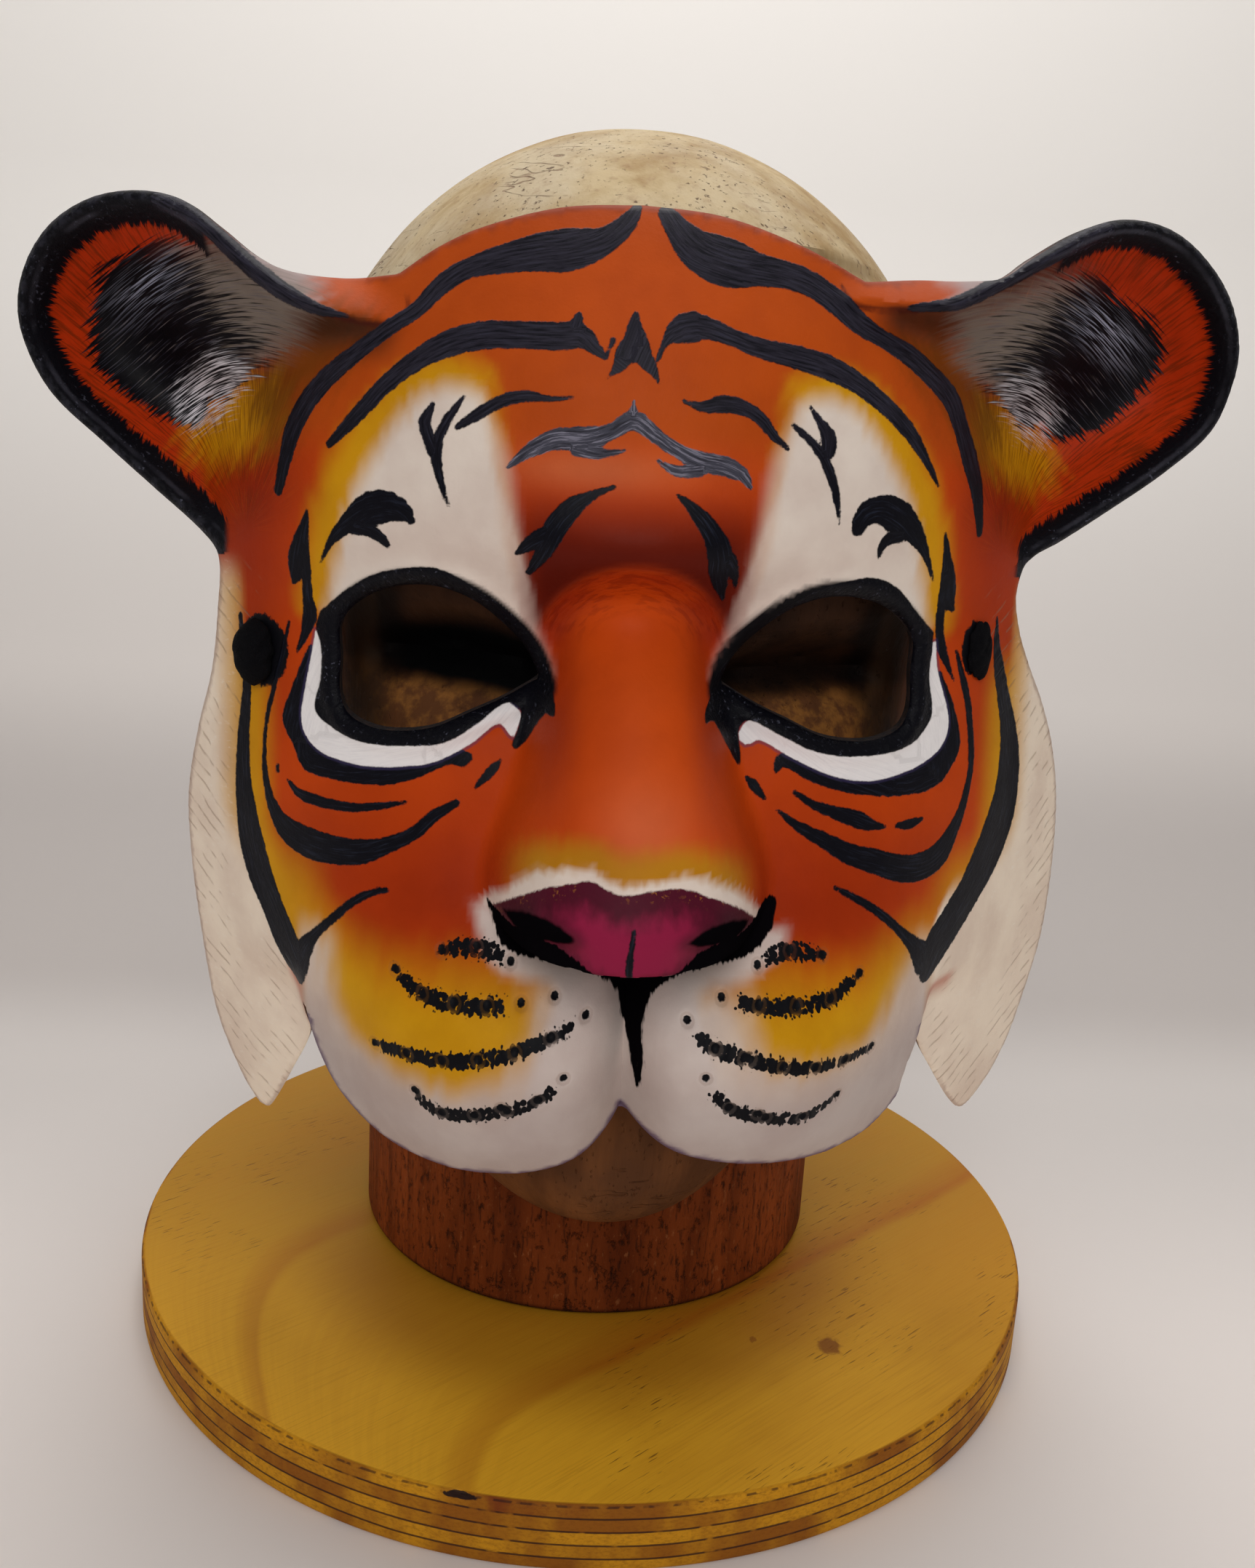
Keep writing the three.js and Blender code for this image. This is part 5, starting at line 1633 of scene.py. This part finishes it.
carved = np.where(c > 0, head_reach(hx, hz, forward), forward)
covered = (c > 0) & (np.abs(hx) < COVERED_HALF) & (hz > COVERED_Z[0]) & (hz < COVERED_Z[1])
room = np.full(hx.shape, np.inf)
room[covered] = room_behind_mask(*upright(hx[covered], hz[covered]))
room += FREE_ROOM * (smooth_step(243, COVERED_Z[1], hz) + smooth_step(99, COVERED_Z[0], hz))
carved = np.minimum(carved, room)
poles = np.abs(ball[:, 2]) > 0.99999
hx[poles] = 0
carved[poles] = np.where(hz[poles] < 100, 20, 0)
set_coordinates(head.data, np.column_stack([hx, HEAD_AXIS_Y - carved, hz]) * MM)
print("wooden_head:", len(head.data.polygons), "faces")

# %% [markdown]
# ## The neck
#
# The neck is a plain turned block with eased ends that sinks into the head above. A cylinder with its
# sharp edges bevelled is all that it needs, and the board under it will be made in the same way.

# %% Neck
NECK_RADIUS = 56.5
NECK_AXIS_Y = 5.5
NECK_TOP = 84
NECK_EASE = 1.8
BOARD_THICK = 15.0
MESH_GAP = 0.3


def turned_block(name, radius, bottom, top, axis_y, ease, sides):
    """An upright cylinder with its sharp edges rounded."""
    deselect_all()
    bpy.ops.mesh.primitive_cylinder_add(
        vertices=sides, radius=radius * MM, depth=(top - bottom) * MM,
        location=(0, axis_y * MM, (top + bottom) / 2 * MM),
    )
    block = bpy.context.object
    block.name = block.data.name = name
    bpy.ops.object.transform_apply(location=True, rotation=True, scale=True)
    bevel = block.modifiers.new("eased edges", "BEVEL")
    bevel.width = ease * MM
    bevel.segments = 4
    bevel.limit_method = "ANGLE"
    bpy.ops.object.modifier_apply(modifier=bevel.name)
    return block


neck = turned_block("wooden_neck", NECK_RADIUS, BOARD_THICK + MESH_GAP, NECK_TOP, NECK_AXIS_Y,
                    NECK_EASE, 160)
print("wooden_neck:", len(neck.data.polygons), "faces")

# %% [markdown]
# ## Wood of the head
#
# The head was once painted and is rubbed back to pale wood, with dry cracks and open pores. Wood is
# rings of growth, so the grain is noise stretched along the grain's direction, with darker pores that
# are stretched less. Low down, behind the muzzle, the wood is browner: partly its own colour, partly
# painted shade under the mask.

# %% Worn wood
worn, start, place = material("worn_head_wood")
x, y, z = in_millimetres(place)
grain = noise(place, (75, 75, 10), 5.0, 0.6, 0.4)
scratches = noise(place, (420, 420, 30), 4.0, 0.65)
pores = noise(place, (900, 900, 420), 3.0, 0.6)
blotch = noise(place, 26, 5.0, 0.6)
colour = mix(between(grain, 0.35, 0.68), pigment(206, 184, 144), pigment(172, 142, 98))
colour = mix(between(blotch, 0.42, 0.66) * 0.6, colour, pigment(212, 198, 172))
colour = mix(between(scratches, 0.5, 0.75) * 0.4, colour, pigment(150, 112, 84))
pits = between(pores, 0.62, 0.7) * between(blotch, 0.38, 0.55)
colour = mix(pits * 0.75, colour, pigment(84, 54, 44))
crack_line = noise(place, (30, 30, 150), 3.0, 0.6, 0.3, (0, 0.25, 0))
cracks = between(abs(crack_line - 0.5), 0.012, 0.003) * between(blotch, 0.56, 0.64)
colour = mix(cracks * 0.5, colour, pigment(120, 76, 58))
# Browner wood low down, behind the mask: partly the wood's own colour, partly painted shade under the
# mask.
low_wood = between(z + (blotch - 0.5) * 50, 238, 190)
browner_low_grain = between(grain + (blotch - 0.5) * 0.8, 0.35, 0.7)
browner_low_wood = mix(browner_low_grain, pigment(164, 98, 46), pigment(104, 58, 22))
colour = mix(low_wood * 0.95, colour, browner_low_wood)

# %% [markdown]
# ## Shadow in the eye sockets
#
# Through the eye holes one sees the wood lit from above and in front, with a dark upper half and a
# warm lower one. Part of that shadow is painted here, in zones measured in millimetres, because the
# soft lamps alone leave the sockets too bright.

# %% Sockets
side = abs(x)
eye_line = z + (blotch - 0.5) * 5
in_socket = band(side, 12, 17, 54, 60) * between(y, -14, -30) * band(z, 134, 142, 198, 212)
mottle = noise(place, 170, 4.0, 0.65)
upper = in_socket * band(eye_line, 161, 165, 195, 205)
upper_colour = mix(between(mottle, 0.4, 0.65), pigment(33, 21, 16), pigment(17, 11, 10))
colour = mix(upper * 0.9, colour, upper_colour)
lower = in_socket * between(eye_line, 166, 160)
lower_colour = mix(between(mottle, 0.4, 0.6), pigment(138, 92, 42), pigment(62, 38, 26))
colour = mix(lower * 0.75, colour, lower_colour)
colour = mix(in_socket * between(side, 44, 50) * 0.85, colour, pigment(52, 36, 24))
right_eye = between(x, -1, 1)
shade = between(eye_line + between(side, 50, 18) * 1.5 - right_eye * 1.5, 159.6, 163.4)
arch = band(side, 14, 30, 30, 46) * 1.6
shade = shade * between(eye_line - arch + right_eye * 4.5, 175.5, 169.5)
shade = shade * between(side, 53, 43) * in_socket
outer_shade = band(side, 41, 46, 47.5, 50.5) * band(eye_line, 158, 163, 176, 190) * in_socket
colour = mix(outer_shade * 0.8, colour, pigment(8, 5, 5))
colour = mix(shade * (1 - right_eye * 0.22), colour, pigment(2, 2, 3))
# Darker under the chin: painted shade.
colour = mix(between(z, 99, 84) * 0.6, colour, pigment(66, 38, 24))  # under the chin
finish_material(start, {"Base Color": colour, "Roughness": 0.6 + 0.2 * grain, "Specular IOR Level": 0.1},
                0.5 * grain + 0.5 * (1 - pits) + 0.4 * scratches - cracks * 0.8, 0.8 * MM, 0.8)

# %% [markdown]
# ## Wood of the neck
#
# The neck is bare red-brown wood with the grain standing up, darker in the middle, a painted shade
# where the head shades it, and nearly black at the joint with the board, a painted contact shadow.

# %% Red-brown wood
neck_wood, start, place = material("neck_wood")
x, y, z = in_millimetres(place)
grain = noise(place, (150, 150, 11), 5.0, 0.6, 0.6)
pores = noise(place, (1000, 1000, 160), 3.0, 0.6)
pits = noise(place, (620, 620, 330), 4.0, 0.7)
colour = mix(between(grain, 0.32, 0.68), pigment(150, 72, 28), pigment(106, 46, 14))
# Darker in the middle, where the head shades it: painted shade.
colour = mix(between(abs(x), 50, 14) * 0.5, colour, pigment(66, 22, 4))
colour = mix(between(pores, 0.55, 0.68) * 0.6, colour, pigment(40, 16, 8))
colour = mix(between(pits, 0.60, 0.68) * 0.7, colour, pigment(30, 14, 10))
colour = mix(between(pits, 0.40, 0.30) * 0.35, colour, pigment(168, 108, 66))
# Nearly black at the foot, where the neck meets the board: a painted contact shadow.
colour = mix(between(z, 17.5, 15.6) * 0.85, colour, pigment(18, 8, 6))
finish_material(start, {"Base Color": colour, "Roughness": 0.7, "Specular IOR Level": 0.12},
                grain * 0.5 + pores * 0.6 - between(pits, 0.55, 0.68), 0.7 * MM, 0.8)

# %% Put both woods on
for piece, finish in ((head, worn), (neck, neck_wood)):
    piece.data.materials.append(finish)
    select_only(piece)
    bpy.ops.object.shade_smooth_by_angle(angle=math.radians(40))
    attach(piece, "root")
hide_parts("head_form")

# %% [markdown]
# ## The plywood board
#
# The board is round plywood with an oiled pine face. Its form is a cylinder with eased edges, like the
# neck. A small flattened ball, taken away from the rim, leaves the chip that the edge has at the front.

# %% Board with its chip
BOARD_RADIUS = 110.0
BOARD_EASE = 1.2
CHIP_AT = (-25.8, -107.8, 14.2)
CHIP_SIZE = (3.9, 2.0, 0.6)
CHIP_TURN = (20, 4, -13.5)

board = turned_block("plywood_board", BOARD_RADIUS, 0, BOARD_THICK, 0, BOARD_EASE, 256)
deselect_all()
bpy.ops.mesh.primitive_ico_sphere_add(
    subdivisions=2, radius=MM, location=[v * MM for v in CHIP_AT], scale=CHIP_SIZE,
    rotation=[math.radians(v) for v in CHIP_TURN],
)
chip = bpy.context.object
bpy.ops.object.transform_apply(location=True, rotation=True, scale=True)
chip_cut = board.modifiers.new("chip", "BOOLEAN")
chip_cut.operation = "DIFFERENCE"
chip_cut.object = chip
select_only(board)
bpy.ops.object.modifier_apply(modifier=chip_cut.name)
bpy.data.objects.remove(chip)
print("plywood_board:", len(board.data.polygons), "faces")

# %% [markdown]
# ## Face of the board
#
# A pine board cut along the trunk shows its growth lines as long arches. So a place is turned to the
# grain's direction, and the distance across it is bent by a curve that starts beside the neck. Two of
# the dark late-wood lines show clearly, and so do fine fibres, short dashes of resin and two knots.

# %% Growth lines
GRAIN_ANGLE = math.radians(40)
ARCH_START = 50
ARCH_BEND = 0.00028
LATE_WOOD = (24.0, -54.0)  # the two dark growth lines in the face
BOARD_KNOTS = ((53.6, -59.6, 3.2, 0.8), (36.6, -58.2, 1.0, 0.6))  # x, y, radius, strength

ply, start, place = material("pine_plywood")
x, y, z = in_millimetres(place)
along = x * math.cos(GRAIN_ANGLE) + y * math.sin(GRAIN_ANGLE)
across = y * math.cos(GRAIN_ANGLE) - x * math.sin(GRAIN_ANGLE)
arch = clamp((-1 * along - ARCH_START) * 0.01) * 100
growth = across + arch * arch * arch * ARCH_BEND + (noise(place, 18, 3.0) - 0.5) * 6
fibre = noise(joined(along * 0.03, growth * 0.35), 1.0, 4.0, 0.6)
straight = noise(joined(along * 0.05, across * 2.4, 9.0), 1.0, 4.0, 0.65)
cloudy = noise(place, 14, 3.0)
# Paler towards the front and darker towards the back: painted light and painted shade.
colour = mix(between(y, 20, -95), pigment(176, 128, 30), pigment(236, 175, 42))
colour = mix(between(fibre, 0.3, 0.72) * 0.15, colour, pigment(190, 124, 20))
colour = mix(between(straight, 0.45, 0.75) * 0.3, colour, pigment(166, 108, 20))
colour = mix(between(cloudy, 0.45, 0.7) * 0.35, colour, pigment(178, 112, 14))
neck_shadow = between(length(x, y + 18), 76, 52) * between(y, 0, -40)
colour = mix(neck_shadow * 0.45, colour, pigment(128, 62, 8))
for line in LATE_WOOD:
    off = growth - line
    sharp = between(abs(off), 3.0, 0.4) * between(cloudy, 0.35, 0.6)
    soft_side = band(off, -2.5, 1.5, 2, 12)
    colour = mix(clamp(sharp * 0.22 + soft_side * 0.3), colour, pigment(156, 70, 10))

# %% Resin dashes and knots
dashes = between(noise(joined(along * 0.16, across * 2.1, 3.0)), 0.62, 0.69)
dashes = dashes * between(noise(place, 24), 0.56, 0.62)
colour = mix(dashes * 0.7, colour, pigment(84, 48, 16))
for knot_x, knot_y, knot_radius, strength in BOARD_KNOTS:
    reach = length(x - knot_x, (y - knot_y) * 0.8) + (noise(place, 700, 3.0) - 0.5) * 3
    inside = between(reach, knot_radius, knot_radius * 0.5)
    colour = mix(inside * strength, colour, pigment(126, 66, 14))

# %% [markdown]
# ## Edge of the board
#
# The edge shows five layers, which are bands of differing tone with dark lines of glue between. The
# height is divided by a layer's thickness: the whole part is the layer, the rest the place in it.

# %% Layers, stains and glue lines
PLIES = 5

ply_phase = (z + (noise(place, 35) - 0.5) * 0.7) / (BOARD_THICK / PLIES)
within = ply_phase.maths("FRACT")
layer_tone = noise(joined(x * 0.05, y * 0.05, ply_phase.maths("FLOOR") * 5.3), 1.0, 3.0)
end_grain = noise(place, (900, 900, 1600), 3.0, 0.7)
edge_colour = mix(between(layer_tone, 0.4, 0.62), pigment(206, 144, 26), pigment(148, 88, 20))
edge_colour = mix(between(end_grain, 0.4, 0.7) * 0.4, edge_colour, pigment(120, 66, 14))
reddish = between(noise(place, 45, 3.0), 0.62, 0.7) * between(z, 11.5, 12.5)
edge_colour = mix(reddish * 0.6, edge_colour, pigment(120, 40, 20))
stain = band(x + (noise(place, 300, 3.0) - 0.5) * 5, -21, -19, -6, 2)
stain = stain * between(y, -80, -100) * between(z, 11.6, 12.4)
edge_colour = mix(stain * 0.6, edge_colour, pigment(104, 26, 18))
glue = clamp(between(within, 0.11, 0.05) + between(within, 0.92, 0.97))
glue = glue * between(noise(place, 210), 0.28, 0.42) * band(z, 1.0, 1.8, 13.4, 14.2)
top_line = band(z, 14.2, 14.35, 14.55, 14.7) * between(noise(place, 420, 1.0), 0.45, 0.55)
line_dark = clamp(glue + top_line * 0.8)
edge_colour = mix(line_dark * 0.85, edge_colour, pigment(38, 18, 22))
on_side = between(length(x, y), BOARD_RADIUS - 1.0, BOARD_RADIUS - 0.5)
colour = mix(on_side, colour, edge_colour)

# %% Painted shade in the chip, and the finish on the board
nx, ny, nz = (v - at for v, at in zip((x, y, z), CHIP_AT))
from_chip = (nx * nx * 0.07 + ny * ny * 0.14 + nz * nz * 2.6).maths("SQRT")
in_chip = between(from_chip + (noise(place, 600, 3.0) - 0.5) * 0.9, 1.1, 0.9)
# Near black inside the chip: painted shade in the recess.
colour = mix(in_chip * 0.95, colour, pigment(20, 12, 20))
finish_material(start, {"Base Color": colour, "Roughness": 0.5 + 0.1 * straight + on_side * 0.2,
                        "Specular IOR Level": 0.15},
                straight * 0.3 + on_side * (0.8 - line_dark) - dashes * 0.4, 0.3 * MM, 0.5)
board.data.materials.append(ply)
select_only(board)
bpy.ops.object.shade_smooth_by_angle(angle=math.radians(40))
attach(board, "root")
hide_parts("base_board")

# %% [markdown]
# ## The knots of the tie
#
# A black cord holds the mask on, and its knot shows at each temple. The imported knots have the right
# place and size, so a copy of each is merged, smoothed and roughened into a soft lump of thread.

# %% Knots
FUZZ_DEPTH = 0.45
SHRINK = 0.35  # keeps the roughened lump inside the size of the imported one

thread, start, place = material("black_thread")
fuzz = noise(place, 1500, 4.0, 0.7)
finish_material(start, {"Base Color": mix(fuzz, pigment(3, 3, 5), pigment(16, 16, 20)),
                        "Roughness": 0.95, "Specular IOR Level": 0.1}, fuzz, 0.6 * MM, 1.0)
for side in ("left", "right"):
    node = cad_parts[f"tie_knot_{side}"]
    knot = node.copy()
    knot.data = node.data.copy()
    bpy.context.collection.objects.link(knot)
    knot.name = knot.data.name = f"thread_knot_{side}"
    knot.parent = None
    select_only(knot)
    edit(lambda: bpy.ops.mesh.select_all(action="SELECT"),
         lambda: bpy.ops.mesh.remove_doubles(threshold=0.02 * MM),
         lambda: bpy.ops.mesh.subdivide(number_cuts=3, smoothness=0.6))
    shape = coordinates(knot.data) / MM
    out = shape - shape.mean(0)
    out /= np.linalg.norm(out, axis=1, keepdims=True)
    lump = FUZZ_DEPTH * streaks(shape[:, 0] + shape[:, 1], shape[:, 2], 35, 1.3, 2.6)
    set_coordinates(knot.data, (shape + out * (lump - SHRINK)[:, None]) * MM)
    knot.data.materials.clear()
    knot.data.materials.append(thread)
    bpy.ops.object.shade_smooth()
    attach(knot, "root")
    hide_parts(f"tie_knot_{side}")
    print(knot.name, len(knot.data.polygons), "faces")

# %% [markdown]
# ## Floor and wall
#
# The mask stands on a pale table before a pale wall. One plane is drawn up into a wall at its far
# side, and the corner is rounded, because a floor that curves up has no horizon line.

# %% Floor that curves up into a wall
FLOOR_HALF = 1.6
FLOOR_BACK = 0.62
WALL_HEIGHT = 1.8
SWEEP = 0.35

deselect_all()
bpy.ops.mesh.primitive_plane_add(size=2 * FLOOR_HALF, location=(0, FLOOR_BACK - FLOOR_HALF, 0))
floor = bpy.context.object
floor.name = floor.data.name = "table"
bpy.ops.object.transform_apply(location=True, rotation=True, scale=True)
bpy.ops.object.mode_set(mode="EDIT")
bpy.ops.mesh.select_mode(type="EDGE")
bpy.ops.mesh.select_all(action="DESELECT")
bpy.ops.object.mode_set(mode="OBJECT")
for line in floor.data.edges:
    ends = [floor.data.vertices[i].co for i in line.vertices]
    line.select = all(p.y > FLOOR_BACK - 0.01 for p in ends)
bpy.ops.object.mode_set(mode="EDIT")
bpy.ops.mesh.extrude_region_move(TRANSFORM_OT_translate={"value": (0, 0, WALL_HEIGHT)})
bpy.ops.object.mode_set(mode="OBJECT")
curve = floor.modifiers.new("sweep up to the wall", "BEVEL")
curve.width = SWEEP
curve.segments = 16
bpy.ops.object.modifier_apply(modifier=curve.name)
bpy.ops.object.shade_smooth()
print("table:", len(floor.data.polygons), "faces")

# %% Pale finish, with painted shade low on the wall and painted light higher up and towards the front
pale, start, place = material("pale_table")
x, y, z = in_millimetres(place)
# Darker low on the wall, just behind the table: painted shade. Paler higher up: painted light.
wall_colour = mix(between(z, 10, 70), pigment(183, 177, 174), pigment(208, 202, 198))
wall_colour = mix(between(z, 50, 340), wall_colour, pigment(250, 247, 243))
# Paler on the floor towards the camera: painted light.
floor_colour = mix(between(y, 100, -100), pigment(204, 199, 196), pigment(234, 227, 223))
colour = mix(between(y, 100, 190), floor_colour, wall_colour)
finish_material(start, {"Base Color": colour, "Roughness": 0.8})
floor.data.materials.append(pale)

# %% [markdown]
# ## Lights and camera
#
# A large round lamp over the camera stands in for a bright window, a second one hangs over the head
# and a small one brightens the wall. The rest is even light from all sides. The camera stands where
# the photograph was taken, found from the board's ellipse and the paired features of the mask.

# %% Lights
world = bpy.data.worlds.new("soft daylight")
bpy.context.scene.world = world
world.use_nodes = True
background = world.node_tree.nodes["Background"]
background.inputs["Color"].default_value = (1.0, 0.975, 0.95, 1)
background.inputs["Strength"].default_value = 0.27


def lamp(name, at, aim, width, watts, colour):
    """A round lamp turned towards a place."""
    data = bpy.data.lights.new(name, "AREA")
    data.shape = "DISK"
    data.size = width
    data.energy = watts
    data.color = colour
    made = bpy.data.objects.new(name, data)
    bpy.context.collection.objects.link(made)
    made.location = at
    dx, dy, dz = np.array(aim) - np.array(at)
    made.rotation_euler = (math.pi / 2 + math.atan2(dz, math.hypot(dx, dy)), 0, -math.atan2(dx, dy))
    print("lamp", name, "of", watts, "W")


FACE_MIDDLE = (0, -0.06, 0.15)
lamp("window", (-0.05, -1.1, 0.85), FACE_MIDDLE, 0.8, 5.6, (1.0, 0.985, 0.97))
lamp("ceiling", (0.1, 0.25, 1.3), FACE_MIDDLE, 0.8, 4.5, (1.0, 0.98, 0.96))
lamp("wall", (0.0, 0.2, 0.95), (0.0, 0.62, 0.5), 0.6, 2.2, (1.0, 0.985, 0.97))

# %% Camera at the photograph's viewing angle
CAMERA_AT = (-14.8, -341.3, 213.4)
YAW, PITCH, ROLL = (math.radians(v) for v in (3.26, 14.14, 3.3))
PHOTO_HEIGHT = 2156
FOCAL_PIXELS = 2000
SENSOR = 36.0

ahead = np.array([math.sin(YAW) * math.cos(PITCH), math.cos(YAW) * math.cos(PITCH), -math.sin(PITCH)])
level = np.array([math.cos(YAW), -math.sin(YAW), 0])
above = np.cross(level, ahead)
rightward = math.cos(ROLL) * level + math.sin(ROLL) * above
upward = -math.sin(ROLL) * level + math.cos(ROLL) * above
camera = bpy.data.objects.new("camera", bpy.data.cameras.new("camera"))
bpy.context.collection.objects.link(camera)
camera.data.sensor_width = camera.data.sensor_height = SENSOR
camera.data.sensor_fit = "AUTO"
camera.data.lens = FOCAL_PIXELS * SENSOR / PHOTO_HEIGHT
camera.data.clip_start = 0.01
axes = np.eye(4)
axes[:3] = np.column_stack([rightward, upward, -ahead, np.array(CAMERA_AT) * MM])
camera.matrix_world = Matrix(axes.tolist())
bpy.context.scene.camera = camera
bpy.context.scene.view_settings.view_transform = "Standard"
print("lens", round(camera.data.lens, 2), "mm")
